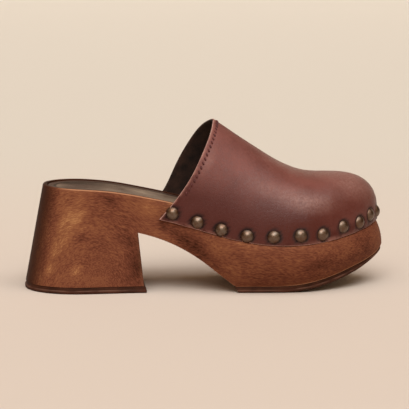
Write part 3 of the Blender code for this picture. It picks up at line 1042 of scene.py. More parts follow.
@dataclass(frozen=True)
class StainedWood:
    """Light hardwood, stained walnut brown by hand and waxed, with painted shade on the heel's back
    and in the pocket and painted highlights on its worked edges.
    """

    # Dark brown of the painted shade on the heel's back, in the pocket and on the rim's top beside
    # it.
    shade_dark: Colour = srgb(42, 21, 12)
    dark: Colour = srgb(54, 27, 17)
    brown: Colour = srgb(104, 59, 43)
    tan: Colour = srgb(129, 81, 55)
    gold: Colour = srgb(164, 117, 78)
    # Pale tan of the rubbed arrises, laid on as wear and as a painted highlight.
    rubbed: Colour = srgb(196, 146, 110)
    sway_size: float = 32.0
    sway_reach: float = 9.0
    body_tilt: float = -7.0
    heel_grain_x: Span = (-30.0, -58.0)
    heart: Position = (-80.0, 0.0, -14.0)
    arch_squeeze: float = 1.5
    arch_turn: float = 1.22
    arch_run: float = 62.0
    fibre_size: Position = (2.8, 1.5, 0.66)
    streak_size: Position = (13.0, 5.0, 1.8)
    cloud_size: float = 20.0
    mottle_size: float = 4.5
    fibre_share: float = 0.74
    streak_share: float = 0.2
    cloud_share: float = 0.36
    middle_tone: float = 0.47
    # The heel's back is darkened as painted shade, where it turns away from the light.
    rear_x: Span = (-113.5, -125.0)
    rear_lean: float = 0.181
    rear_shade_share: float = 0.85
    edge_light_share: float = 0.8
    pocket_dark_share: float = 0.9
    roughness: float = 0.55
    grain_depth: float = 0.12

    def make(self) -> bpy.types.Material:
        """Builds the finish.

        Returns:
            The material.
        """
        g = Graph("stained_wood")
        place = g.position()
        swayed = self.swayed(g, place)
        body = g.turned(swayed, self.body_tilt)
        arched = self.arches(g, swayed)
        on_heel = g.step(g.axis(swayed, "X"), *self.heel_grain_x)
        fibre = self.along(g, on_heel, arched, body, self.fibre_size, 4.0)
        streak = self.along(g, on_heel, arched, body, self.streak_size, 3.0)
        cloud = g.noise(place, self.cloud_size, 3.0)
        mottle = g.noise(place, self.mottle_size, 3.0)
        grain = self.streak_share * (streak - 0.5) + self.fibre_share * (fibre - 0.5)
        clouded = grain + self.cloud_share * (cloud - 0.5)
        tone = clouded + g.strokes(swayed, STAINS) * (0.3 + 1.4 * mottle) + self.middle_tone
        stops = ((0.12, self.dark), (0.42, self.brown), (0.62, self.tan), (0.86, self.gold))
        # Painted shade: the heel's back is darkened towards the dark brown.
        rear = g.step(g.axis(place, "X") - self.rear_lean * g.axis(place, "Z"), *self.rear_x)
        heel_back_shaded = g.blend(rear * self.rear_shade_share, g.ramp(tone, stops), self.shade_dark)
        worked = g.attribute("arris")
        # Painted highlight, with some wear: edges marked above zero are lightened to the pale tan.
        lit = g.blend(g.step(worked, 0.0, 1.0) * self.edge_light_share, heel_back_shaded, self.rubbed)
        # Painted shade: the pocket and the rim's top beside it, marked below zero, go dark.
        hollow = g.step(worked, 0.0, -1.0) * self.pocket_dark_share
        return g.surface(
            {
                "Base Color": g.blend(hollow, lit, self.shade_dark),
                "Roughness": self.roughness + 0.2 * (fibre - 0.5),
                "Normal": g.bump(fibre + 0.5 * streak, self.grain_depth, 0.5),
                "Specular IOR Level": 0.03,
            }
        )

    def swayed(self, g: Graph, place: Signal) -> Signal:
        """Sways a position a little, so that neither grain nor stain runs true.

        Args:
            g: the material's graph.
            place: the position on the shoe.

        Returns:
            The swayed position.
        """
        inputs = {"Vector": place, "Scale": 1 / self.sway_size, "Detail": 2.0}
        drift = g.node("ShaderNodeTexNoise", {}, inputs, "Color")
        centred = g.vector("SUBTRACT", drift, (0.5, 0.5, 0.5))
        return g.vector("ADD", place, g.vector("SCALE", centred, scale=self.sway_reach))

    def arches(self, g: Graph, place: Signal) -> Signal:
        """Bends the heel's grain into arches round the heart of the board.

        Args:
            g: the material's graph.
            place: the position on the shoe.

        Returns:
            The position with X along the arch and Z across it.
        """
        away = g.vector("SUBTRACT", place, self.heart)
        x, y, z = (g.axis(away, name) for name in ("X", "Y", "Z"))
        across = g.math("SQRT", self.arch_squeeze * (x * x) + z * z, 0.0)
        along = self.arch_run * g.math("ARCTAN2", self.arch_turn * x, z)
        return g.node("ShaderNodeCombineXYZ", {}, {"X": along, "Y": y, "Z": across})

    @staticmethod
    def along(
        g: Graph, share: Signal, heel: Signal, body: Signal, size: Position, detail: float
    ) -> Signal:
        """Lays one grade of grain along the heel's and the body's own direction.

        Args:
            g: the material's graph.
            share: 1 on the heel, 0 on the body.
            heel: the position along the heel's grain.
            body: the position along the body's grain.
            size: the size of a fleck along and across the grain.
            detail: how many finer layers it has.

        Returns:
            The grain, around one half.
        """
        return g.noise(heel, size, detail) * share + g.noise(body, size, detail) * (1 - share)


# Pale strokes of painted sheen along the vamp, where the highlight falls, and over the toe.
PAINTED_SHEEN = (
    Stroke((-1.0, -29.0, 90.5), (16.0, 24.0, 5.0), 62.0, 0.2),
    Stroke((36.0, -35.0, 73.5), (22.0, 24.0, 9.0), -22.0, 0.16),
    Stroke((60.0, -38.0, 65.0), (30.0, 24.0, 11.0), -12.0, 0.28),
    Stroke((74.0, -36.0, 62.5), (30.0, 28.0, 12.0), 0.0, 0.16),
    Stroke((98.0, -5.0, 71.5), (32.0, 36.0, 17.0), -10.0, 0.4),
)


@dataclass(frozen=True)
class OxbloodLeather:
    """Smooth waxed leather with a fine pressed grain, darkened towards its lower edge with painted
    shade, with a painted sheen along its vamp and painted shade round its studs.
    """

    # Near black of the painted shade round the studs.
    stud_shade: Colour = srgb(26, 11, 8)
    # Dark red of the painted shade towards the lower edge.
    low_shade: Colour = srgb(70, 22, 14)
    deep: Colour = srgb(96, 52, 46)
    mid: Colour = srgb(113, 64, 57)
    # Pale pink of the edges, laid on as wear and, at the lower edge, as a painted highlight.
    worn_and_lit: Colour = srgb(164, 112, 100)
    # Greyish pink of the painted sheen.
    sheen_tint: Colour = srgb(152, 113, 104)
    cloud_size: float = 22.0
    cell_size: float = 0.9
    pore_size: float = 0.7
    pebble_size: float = 1.9
    rub_size: float = 5.0
    haze_size: float = 6.0
    haze_grain_size: float = 1.5
    low_shade_mm: Span = (49.0, 16.0)
    low_shade_drift: float = 14.0
    hem_shade_mm: Span = (13.0, 4.0)
    toe_x: Span = (62.0, 108.0)
    toe_share: float = 0.55
    collar_x: Span = (58.0, 4.0)
    stud_shade_share: float = 0.95
    edge_mark_share: float = 0.6
    roughness: float = 0.4
    grain_depth: float = 0.12

    def make(self) -> bpy.types.Material:
        """Builds the finish.

        Returns:
            The material.
        """
        g = Graph("oxblood_leather")
        place = g.position()
        cloud = g.noise(place, self.cloud_size, 3.0)
        grain = g.cells(place, self.cell_size)
        pore = g.noise(place, self.pore_size, 2.0)
        pebble = g.noise(place, self.pebble_size, 3.0, 0.6)
        tone = cloud + 0.5 * (pebble - 0.5) + 0.3 * (pore - 0.5)
        colour = g.ramp(tone, ((0.3, self.deep), (0.68, self.mid)))
        # Painted shade: the leather darkens towards its lower edge, less so at the toe, and fully
        # within a few millimetres of the edge.
        toe = g.step(g.axis(place, "X"), *self.toe_x)
        from_rim = g.attribute("from_rim")
        drifted = from_rim + self.low_shade_drift * (cloud - 0.5)
        high = g.step(drifted, *self.low_shade_mm) * (1 - self.toe_share * toe)
        low = g.math("MAXIMUM", high, g.step(from_rim, *self.hem_shade_mm))
        # Wear along the collar, and wear with a painted highlight along the lifted lower edge,
        # broken up by noise.
        rubbed = g.attribute("rubbed") * g.step(g.noise(place, self.rub_size, 2.0), 0.3, 0.6)
        # Painted shade: a dark ring round each stud.
        ring = g.attribute("stud_ring")
        # Painted sheen, patchy and grainy.
        patchy = 0.35 + 1.3 * g.noise(place, self.haze_size, 4.0)
        grainy = 0.1 + 1.8 * g.noise(place, self.haze_grain_size, 2.0)
        sheen = g.strokes(place, PAINTED_SHEEN) * patchy * grainy
        # The colour with the painted shade at the lower edge and the painted sheen over it.
        waxed = g.blend(sheen, g.blend(low, colour, self.low_shade), self.sheen_tint)
        stud_shaded = g.blend(self.stud_shade_share * ring, waxed, self.stud_shade)
        collar = g.step(g.axis(place, "X"), *self.collar_x)
        worked = self.roughness + 0.2 * collar + 0.4 * ring
        relief = 0.5 * g.step(grain, 0.0, 0.25) + 0.4 * pore + 2.0 * pebble
        return g.surface(
            {
                "Base Color": g.blend(self.edge_mark_share * rubbed, stud_shaded, self.worn_and_lit),
                "Roughness": worked + 0.12 * (cloud - 0.5) + 0.5 * (pebble - 0.5),
                "Normal": g.bump(relief, self.grain_depth, 0.6),
                "Specular IOR Level": 0.31,
            }
        )


@dataclass(frozen=True)
class MattFinish:
    """A matt finish with cloudy colour and a fine rough surface."""

    name: str
    dark: Colour
    light: Colour
    roughness: float
    cloud_size: float
    tooth_size: float
    tooth_depth: float

    def make(self) -> bpy.types.Material:
        """Builds the finish.

        Returns:
            The material.
        """
        g = Graph(self.name)
        place = g.position()
        tooth = g.noise(place, self.tooth_size, 3.0)
        cloud = g.noise(place, self.cloud_size, 3.0)
        tone = cloud + 0.5 * (tooth - 0.5)
        return g.surface(
            {
                "Base Color": g.ramp(tone, ((0.3, self.dark), (0.7, self.light))),
                "Roughness": self.roughness + 0.1 * (tooth - 0.5),
                "Normal": g.bump(tooth, self.tooth_depth, 0.6),
                "Specular IOR Level": 0.35,
            }
        )


@dataclass(frozen=True)
class SockLeather:
    """Taupe lining leather with a border, pale at the back of the seat, with painted shade along a
    line inside the border and on its sides, and a painted shadow over the seat in front of its
    back.
    """

    border: Colour = srgb(72, 53, 44)
    # Dark of the painted shade inside the border and on the sides.
    dark: Colour = srgb(38, 25, 18)
    taupe: Colour = srgb(72, 53, 43)
    pale: Colour = srgb(116, 97, 82)
    bright: Colour = srgb(150, 132, 112)
    cloud_size: float = 16.0
    cell_size: float = 1.1
    pore_size: float = 0.8
    line_mm: Span = (3.5, 3.9)
    edge_mm: Span = (5.2, 5.7)
    shade_mm: Span = (8.0, 15.0)
    seat_x: Span = (-115.0, -94.0)
    front_x: Span = (-100.0, -40.0)
    roughness: float = 0.5
    grain_depth: float = 0.05

    def make(self) -> bpy.types.Material:
        """Builds the finish.

        Returns:
            The material.
        """
        g = Graph("sock_leather")
        place = g.position()
        cloud = g.noise(place, self.cloud_size, 3.0)
        grain = g.cells(place, self.cell_size)
        pore = g.noise(place, self.pore_size, 2.0)
        front = g.step(g.axis(place, "X"), *self.front_x)
        seat = g.step(g.axis(place, "X"), *self.seat_x)
        # Painted shadow: the seat is darker between its pale back and its front.
        tone = cloud + 0.2 * (pore - 0.5) + 0.4 * (front - 0.5) + 0.7 * (1.0 - seat)
        colour = g.ramp(tone, ((0.28, self.taupe), (0.75, self.pale), (1.0, self.bright)))
        from_edge = g.attribute("from_edge") * (0.9 + 0.1 * seat) + 0.6 * (cloud - 0.5)
        # Painted shade along a line inside the border, and on the sides towards the back.
        bordered = g.blend(g.step(from_edge, *self.line_mm), self.border, self.dark)
        aside = g.step(g.math("ABSOLUTE", g.axis(place, "Y"), 0.0), *self.shade_mm)
        shaded = g.blend((0.8 - 0.75 * front) * aside, colour, self.dark)
        return g.surface(
            {
                "Base Color": g.blend(g.step(from_edge, *self.edge_mm), bordered, shaded),
                "Roughness": self.roughness + 0.2 * (pore - 0.5),
                "Normal": g.bump(g.step(grain, 0.0, 0.25) + 0.5 * pore, self.grain_depth, 0.5),
                "Specular IOR Level": 0.1,
            }
        )


@dataclass(frozen=True)
class AntiqueBrass:
    """Nickelled brass, tarnished towards its rim and bright on its crown, with painted shade on its
    rim where it meets the leather.
    """

    metal: Colour = srgb(114, 101, 91)
    tarnish: Colour = srgb(98, 69, 51)
    # Near black painted shade on the rim, where the stud meets the leather.
    rim: Colour = srgb(30, 22, 16)
    cloud_size: float = 3.2
    fleck_size: float = 0.7
    rim_blend: Span = (0.55, 1.0)
    roughness: float = 0.34
    dent_depth: float = 0.08

    def make(self) -> bpy.types.Material:
        """Builds the finish.

        Returns:
            The material.
        """
        g = Graph("antique_brass")
        place = g.position()
        cloud = g.noise(place, self.cloud_size, 3.0)
        fleck = g.noise(place, self.fleck_size, 2.0)
        low = g.attribute("low")
        tone = cloud + 0.3 * (fleck - 0.5) - 0.25 * low
        colour = g.ramp(tone, ((0.25, self.tarnish), (0.65, self.metal)))
        return g.surface(
            {
                # Painted shade on the rim.
                "Base Color": g.blend(g.step(low, *self.rim_blend), colour, self.rim),
                "Metallic": 1.0,
                "Roughness": self.roughness + 0.18 * (fleck - 0.5) + 0.2 * low,
                "Normal": g.bump(cloud + 0.4 * fleck, self.dent_depth, 0.4),
            }
        )


@dataclass(frozen=True)
class TreadRubber:
    """Moulded brown rubber, with a broken painted highlight along the shoulder of its band."""

    dark: Colour = srgb(48, 26, 17)
    brown: Colour = srgb(70, 39, 27)
    shoulder_highlight: Colour = srgb(116, 82, 68)
    tooth_size: float = 0.8
    cloud_size: float = 9.0
    scuff_size: Position = (16.0, 16.0, 3.0)
    shoulder_highlight_share: float = 0.6
    roughness: float = 0.62
    tooth_depth: float = 0.04

    def make(self) -> bpy.types.Material:
        """Builds the finish.

        Returns:
            The material.
        """
        g = Graph("tread_rubber")
        place = g.position()
        tooth = g.noise(place, self.tooth_size, 3.0)
        cloud = g.noise(place, self.cloud_size, 3.0)
        colour = g.ramp(cloud + 0.5 * (tooth - 0.5), ((0.3, self.dark), (0.7, self.brown)))
        # Painted highlight along the band's shoulder, broken up by noise.
        broken = g.step(g.noise(place, self.scuff_size, 2.0), 0.35, 0.6)
        shoulder_lit = g.attribute("shoulder") * broken
        return g.surface(
            {
                "Base Color": g.blend(self.shoulder_highlight_share * shoulder_lit, colour, self.shoulder_highlight),
                "Roughness": self.roughness + 0.1 * (tooth - 0.5),
                "Normal": g.bump(tooth, self.tooth_depth, 0.6),
                "Specular IOR Level": 0.08,
            }
        )


@dataclass(frozen=True)
class StudioPaper:
    """Seamless beige paper, a little paler where it runs back."""

    paper: Colour = (0.6, 0.51, 0.444)
    pale: Colour = (0.59, 0.534, 0.468)
    fade_mm: Span = (-60.0, 900.0)
    tooth_size: float = 1.2
    tooth_depth: float = 0.02
    roughness: float = 0.95

    def make(self) -> bpy.types.Material:
        """Builds the finish.

        Returns:
            The material.
        """
        g = Graph("studio_paper")
        place = g.position()
        tooth = g.noise(place, self.tooth_size, 2.0)
        back = g.step(g.axis(place, "Y"), *self.fade_mm)
        return g.surface(
            {
                "Base Color": g.blend(back, self.paper, self.pale),
                "Roughness": self.roughness,
                "Normal": g.bump(tooth, self.tooth_depth, 0.1),
                "Specular IOR Level": 0.1,
            }
        )


LINING = MattFinish("suede_lining", srgb(22, 11, 6), srgb(54, 33, 24), 0.95, 7.0, 0.6, 0.12)
CUT_EDGE = MattFinish(
    "cut_leather_edge", srgb(132, 92, 84), srgb(172, 132, 122), 0.7, 4.0, 0.5, 0.06
)
THREAD = MattFinish("waxed_thread", srgb(62, 23, 22), srgb(90, 38, 36), 0.6, 3.0, 0.4, 0.08)

BELOW_SHARES = (0.04, 0.1, 0.18, 0.27, 0.36, 0.45, 0.54, 0.63, 0.72, 0.81, 0.9, 0.96, 1.0)


@dataclass
class WoodSole:
    """The carved block: heel, shank, platform and pocketed footbed."""

    form: ShoeForm
    rim_round: float = 0.8
    rim_width: float = 2.0
    pocket_depth: float = 3.4
    pocket_draft: float = 0.2
    ledge_drop: float = 0.8
    arris: float = 0.9
    arris_middle: float = 0.29
    toe_arris: float = 1.5
    toe_blend: Span = (100.0, 120.0)
    corner_round: float = 1.1
    heel_rows: int = 16
    wall_blend_end_x: float = -28.0
    layout_blend: Span = (-70.0, -36.0)
    below_shares: tuple[float, ...] = BELOW_SHARES
    breast_fade: float = 5.0
    rim_marks: tuple[float, ...] = (-1.0, -1.0, -1.0, -0.9, 0.1, 0.7, 0.6, 0.1)
    # Where the painted highlight on the rim's arris and on the wall's foot fades in, and its
    # strength on the breast corners.
    rim_light_x: Span = (-108.0, -92.0)
    foot_light: Span = (0.32, 0.8)
    foot_light_x: Span = (40.0, 70.0)
    corner_light: float = 0.16
    corner_steps: int = 3
    sharp_angle: float = 40.0
    covers: tuple[str, ...] = ("wood_sole",)

    def build(self, finish: StainedWood) -> bpy.types.Object:
        """Builds the block as one closed mesh.

        Args:
            finish: the wood's finish.

        Returns:
            The piece.
        """
        form = self.form
        maker = MeshMaker()
        worn_and_lit = maker.layer("arris")
        rings = [maker.ring(form.inset_loop(inset, -depth)) for inset, depth in self.rim_profile()]
        outer, inner = form.split_sides(rings[0])
        maker.strip_cap(outer, inner)
        columns = [maker.ring(self.wall_column(point)) for point in form.loop]
        rings += [list(ring) for ring in zip(*columns)]
        maker.stack(rings)
        outer, inner = form.split_sides(rings[-1])
        maker.strip_cap(outer[form.heel_stations :], inner[form.heel_stations :])

        order = form.heel_order()
        heel_rings = [[rings[-1][i] for i in order]]
        tip_z = form.heel_tip_thickness + form.glue_line
        for row in range(1, self.heel_rows + 1):
            z = mix(form.breast_top_z, tip_z, row / self.heel_rows)
            heel_rings.append(maker.ring(form.heel_point(form.loop[i], z) for i in order))
        maker.stack(heel_rings)
        foot = heel_rings[-1]
        maker.strip_cap(foot[form.heel_stations :: -1], foot[form.heel_stations :])
        self.mark_edge_light_and_shade(rings, worn_and_lit)
        self.round_breast(maker, heel_rings, worn_and_lit)
        block = maker.finish("sole_block", [finish.make()], self.sharp_angle)
        return fit(block, Slot.WOOD, *self.covers)

    def mark_edge_light_and_shade(self, rings: Sequence[Sequence[Any]], worn_and_lit: Any) -> None:
        """Marks the pocket and the rim's top beside it as painted shade, and the rim's arris and
        the wall's foot as wear with a painted highlight.

        Args:
            rings: the block's rings, from the pocket's floor to the wall's foot.
            worn_and_lit: the layer that marks worked edges for painted shade and painted highlight.
        """
        form = self.form
        for ring, mark in zip(rings, self.rim_marks):
            for point, vert in zip(form.loop, ring):
                vert[worn_and_lit] = mark * (ease(point.x, *self.rim_light_x) if mark > 0 else 1.0)
        # The wall's foot ahead of the breast is marked light, as wear with a painted highlight.
        for ring in rings[-2:]:
            for point, vert in zip(form.loop, ring):
                foot_lit = mix(*self.foot_light, ease(point.x, *self.foot_light_x))
                vert[worn_and_lit] = foot_lit * self.ahead_of_breast(point)

    def ahead_of_breast(self, point: RimPoint) -> float:
        """0 up to the heel's breast, 1 a little ahead of it."""
        return ease(point.x, self.form.breast_x, self.form.breast_x + self.breast_fade)

    def rim_profile(self) -> list[tuple[float, float]]:
        """Lists the rows of the footbed's rim, from the pocket's floor to the outer shoulder.

        Returns:
            The inset and the depth of each row.
        """
        lip = self.rim_round + self.rim_width
        rows = [(lip + self.pocket_draft, self.pocket_depth), (lip + 0.1, 0.5)]
        rows += [(lip - 0.15, 0.1), (lip - 0.5, 0.0)]
        for degrees in (0, 30, 60):
            turn = math.radians(degrees)
            inset = self.rim_round * (1 - math.sin(turn))
            rows.append((inset, self.rim_round * (1 - math.cos(turn))))
        return rows

    def wall_column(self, point: RimPoint) -> list[Position]:
        """Lists one column of the wall, from the rim's shoulder to the underside or the heel's top.

        Args:
            point: the rim point at its top.

        Returns:
            The column's points.
        """
        form = self.form
        on_heel = point.x <= form.breast_x
        top = form.rim_z(point.x)
        edge = form.upper_edge_z(point.x) - form.gap
        below = edge - self.ledge_drop
        foot = form.foot_offset(point)
        bottom = form.breast_top_z if on_heel else form.wood_bottom_z(form.pushed(point, foot)[0])
        arris = mix(self.arris, self.toe_arris, ease(point.x, *self.toe_blend))
        arris *= self.ahead_of_breast(point)
        middle = self.arris_middle * arris
        lean = form.covered_lean(point.x)
        ledge = form.wall_ledge(point.x)
        rows = [(top - self.rim_round, -lean), (mix(top, edge, 0.5), -lean / 3), (edge, 0.0)]
        rows += [(mix(edge, below, 0.35), 0.75 * ledge), (below, 0.96 * ledge)]
        for share in self.below_shares:
            rows.append((mix(below, bottom + arris, share), form.wall_offset(point, share)))
        rows += [(bottom + middle, foot - middle), (bottom, foot - arris)]
        even = np.linspace(top - self.rim_round, bottom, len(rows))
        stepped = ease(point.x, *self.layout_blend)
        walled = ease(point.x, form.breast_x, self.wall_blend_end_x)
        column = []
        for even_z, (stepped_z, offset) in zip(even, rows):
            z = mix(float(even_z), stepped_z, stepped)
            if on_heel:
                column.append(form.heel_point(point, z))
                continue
            blended = mix(form.heel_flare(point.x, z), offset, walled)
            column.append((*form.pushed(point, blended), z))
        return column

    def round_breast(
        self, maker: MeshMaker, heel_rings: Sequence[Sequence[Any]], worn_and_lit: Any
    ) -> None:
        """Rounds the two upright corners of the heel's breast.

        Args:
            maker: the block's mesh.
            heel_rings: the heel's rings, each from one breast corner round to the other.
            worn_and_lit: the layer that marks worked edges for painted light.
        """
        corners = []
        for above, below in zip(heel_rings, heel_rings[1:]):
            for place in (0, -1):
                corners.append(maker.bm.edges.get((above[place], below[place])))
        bmesh.ops.recalc_face_normals(maker.bm, faces=maker.bm.faces)
        maker.bm.normal_update()
        made = bmesh.ops.bevel(
            maker.bm,
            geom=corners,
            offset=self.corner_round * MM,
            offset_type="OFFSET",
            segments=self.corner_steps,
            profile=0.5,
            affect="EDGES",
        )
        # The rounded breast corners are marked light, as a painted highlight.
        for vert in made["verts"]:
            vert[worn_and_lit] = self.corner_light


@dataclass(kw_only=True)
class Tread:
    """The side profile that both rubber pieces share: a proud lower band, then an inset."""

    band_share: float = 0.48
    proud: float = 0.6
    inset: float = 0.4
    shoulder_rows: tuple[tuple[int, float], ...] = ((4, 0.4), (5, 1.0), (6, 0.7))
    sharp_angle: float = 50.0

    def profile(self, thickness: float) -> list[tuple[float, float]]:
        """Lists the rows of the side.

        Args:
            thickness: the rubber's thickness.

        Returns:
            The height and the offset of each row.
        """
        band = thickness * self.band_share
        return [
            (0.0, 0.0),
            (band * 0.12, self.proud * 0.6),
            (band * 0.3, self.proud * 0.95),
            (band * 0.45, self.proud),
            (band * 0.85, self.proud),
            (band, self.proud * 0.75),
            (band + 0.2, 0.0),
            (band + 0.4, -self.inset),
            (thickness - 0.25, -self.inset),
            (thickness, -self.inset - 0.2),
        ]

    def mark_shoulder(self, rings: Sequence[Sequence[Any]], shoulder: Any) -> None:
        """Marks the shoulder of the band, which the finish lightens with a painted highlight.

        Args:
            rings: the piece's rows, in profile order.
            shoulder: the layer that marks it.
        """
        for row, share in self.shoulder_rows:
            for vert in rings[row]:
                vert[shoulder] = share


@dataclass
class HeelTip(Tread):
    """The rubber top piece under the heel."""

    form: ShoeForm
    breast_proud: float = 1.2
    covers: tuple[str, ...] = ("heel_tip",)

    def build(self, material: bpy.types.Material) -> bpy.types.Object:
        """Builds the piece.

        Args:
            material: the rubber.

        Returns:
            The piece.
        """
        form = self.form
        maker = MeshMaker()
        shoulder = maker.layer("shoulder")
        rings = []
        for z, offset in self.profile(form.heel_tip_thickness):
            ring = []
            for i in form.heel_order():
                point = form.loop[i]
                x, y, _ = form.heel_point(point, form.heel_tip_thickness)
                at_breast = point.x >= form.breast_x
                forward = self.breast_proud + offset if at_breast else point.normal_x * offset
                ring.append(maker.vertex((x + forward, y + point.normal_y * offset, z)))
            rings.append(ring)
        maker.stack(rings)
        for ring in (rings[0], rings[-1]):
            maker.strip_cap(ring[form.heel_stations :: -1], ring[form.heel_stations :])
        self.mark_shoulder(rings, shoulder)
        tip = maker.finish("heel_top_piece", [material], self.sharp_angle)
        return fit(tip, Slot.RUBBER, *self.covers)


@dataclass
class ForefootOutsole(Tread):
    """The rubber under the platform, which rises with the toe spring."""

    form: ShoeForm
    back_run: float = 2.7
    toe_tuck: float = 1.3
    station_slack: float = 0.01
    toe_blend: Span = (100.0, 120.0)
    covers: tuple[str, ...] = ("forefoot_outsole",)

    def build(self, material: bpy.types.Material) -> bpy.types.Object:
        """Builds the piece.

        Args:
            material: the rubber.

        Returns:
            The piece.
        """
        form = self.form
        maker = MeshMaker()
        shoulder = maker.layer("shoulder")
        start_x = form.platform_x - self.station_slack
        platform = [point for point in form.loop if point.x >= start_x]
        toe = len(platform) // 2
        rings = []
        for row in range(len(self.profile(form.outsole_thickness))):
            ring = []
            for i, point in enumerate(platform):
                foot_x, _ = form.pushed(point, form.foot_offset(point))
                thickness = form.tread_thickness(foot_x)
                height, offset = self.profile(thickness)[row]
                offset -= self.toe_tuck * ease(point.x, *self.toe_blend)
                x, y = form.pushed(point, form.foot_offset(point) + offset)
                if i in (0, len(platform) - 1):
                    x = form.platform_x + self.back_run * (1 - height / thickness)
                ring.append(maker.vertex((x, y, form.spring_z(foot_x) + height)))
            rings.append(ring)
        maker.stack(rings)
        for ring in (rings[0], rings[-1]):
            maker.strip_cap(ring[: toe + 1], ring[: toe - 1 : -1])
        self.mark_shoulder(rings, shoulder)
        outsole = maker.finish("platform_outsole", [material], self.sharp_angle)
        return fit(outsole, Slot.RUBBER, *self.covers)


@dataclass
class Insole:
    """The sock in the footbed's pocket, dished along its middle."""

    form: ShoeForm
    inset: float = 3.3
    floor_depth: float = 3.1
    thickness: float = 2.2
    edge_round: float = 0.8
    dish: float = 1.6
    full_width: float = 58.0
    cross_shares: tuple[float, ...] = (0.012, 0.03, 0.055, 0.085, 0.12, 0.17, 0.23, 0.3, 0.4)
    sharp_angle: float = 50.0
    covers: tuple[str, ...] = ("insole",)

    def build(self, finish: SockLeather) -> bpy.types.Object:
        """Builds the piece.

        Args:
            finish: the sock's finish.

        Returns:
            The piece.
        """
        form = self.form
        maker = MeshMaker()
        from_edge = maker.layer("from_edge")
        profile = [(0.0, self.inset)]
        for degrees in (0, 30, 60, 90):
            turn = math.radians(degrees)
            height = self.thickness - self.edge_round * (1 - math.sin(turn))
            profile.append((height, self.inset + self.edge_round * (1 - math.cos(turn))))
        rings = []
        for height, inset in profile:
            rings.append(maker.ring(form.inset_loop(inset, height - self.floor_depth)))
        maker.stack(rings)
        self.cap(maker, rings[0])
        self.cap(maker, rings[-1])
        rim = np.array([vert.co for vert in rings[2]]) / MM
        for vert in maker.bm.verts:
            gaps = np.linalg.norm(rim[:, :2] - np.array(vert.co)[:2] / MM, axis=1)
            vert[from_edge] = float(gaps.min())
        sock = maker.finish("insole_sock", [finish.make()], self.sharp_angle)
        return fit(sock, Slot.SOCK, *self.covers)

    def cap(self, maker: MeshMaker, ring: Sequence[bmesh.types.BMVert]) -> None:
        """Covers a rim loop with rows that sag towards the middle of the foot.

        Args:
            maker: the sock's mesh.
            ring: the loop.
        """
        shares = [*self.cross_shares, 0.5, *[1 - share for share in reversed(self.cross_shares)]]
        rows = []
        for left, right in zip(*self.form.split_sides(ring)):
            width = min((right.co - left.co).length / MM / self.full_width, 1.0)
            row = [left]
            for share in shares:
                sag = Vector((0.0, 0.0, -self.dish * MM * math.sin(math.pi * share) * width))
                spot = left.co.lerp(right.co, share) + sag
                row.append(left if left is right else maker.bm.verts.new(spot))
            rows.append([*row, right])
        for first, second in zip(rows, rows[1:]):
            maker.bridge(first, second, closed=False)


@dataclass
class StudSeat:
    """Where a stud sits on the leather."""

    centre: Vector
    out: Vector


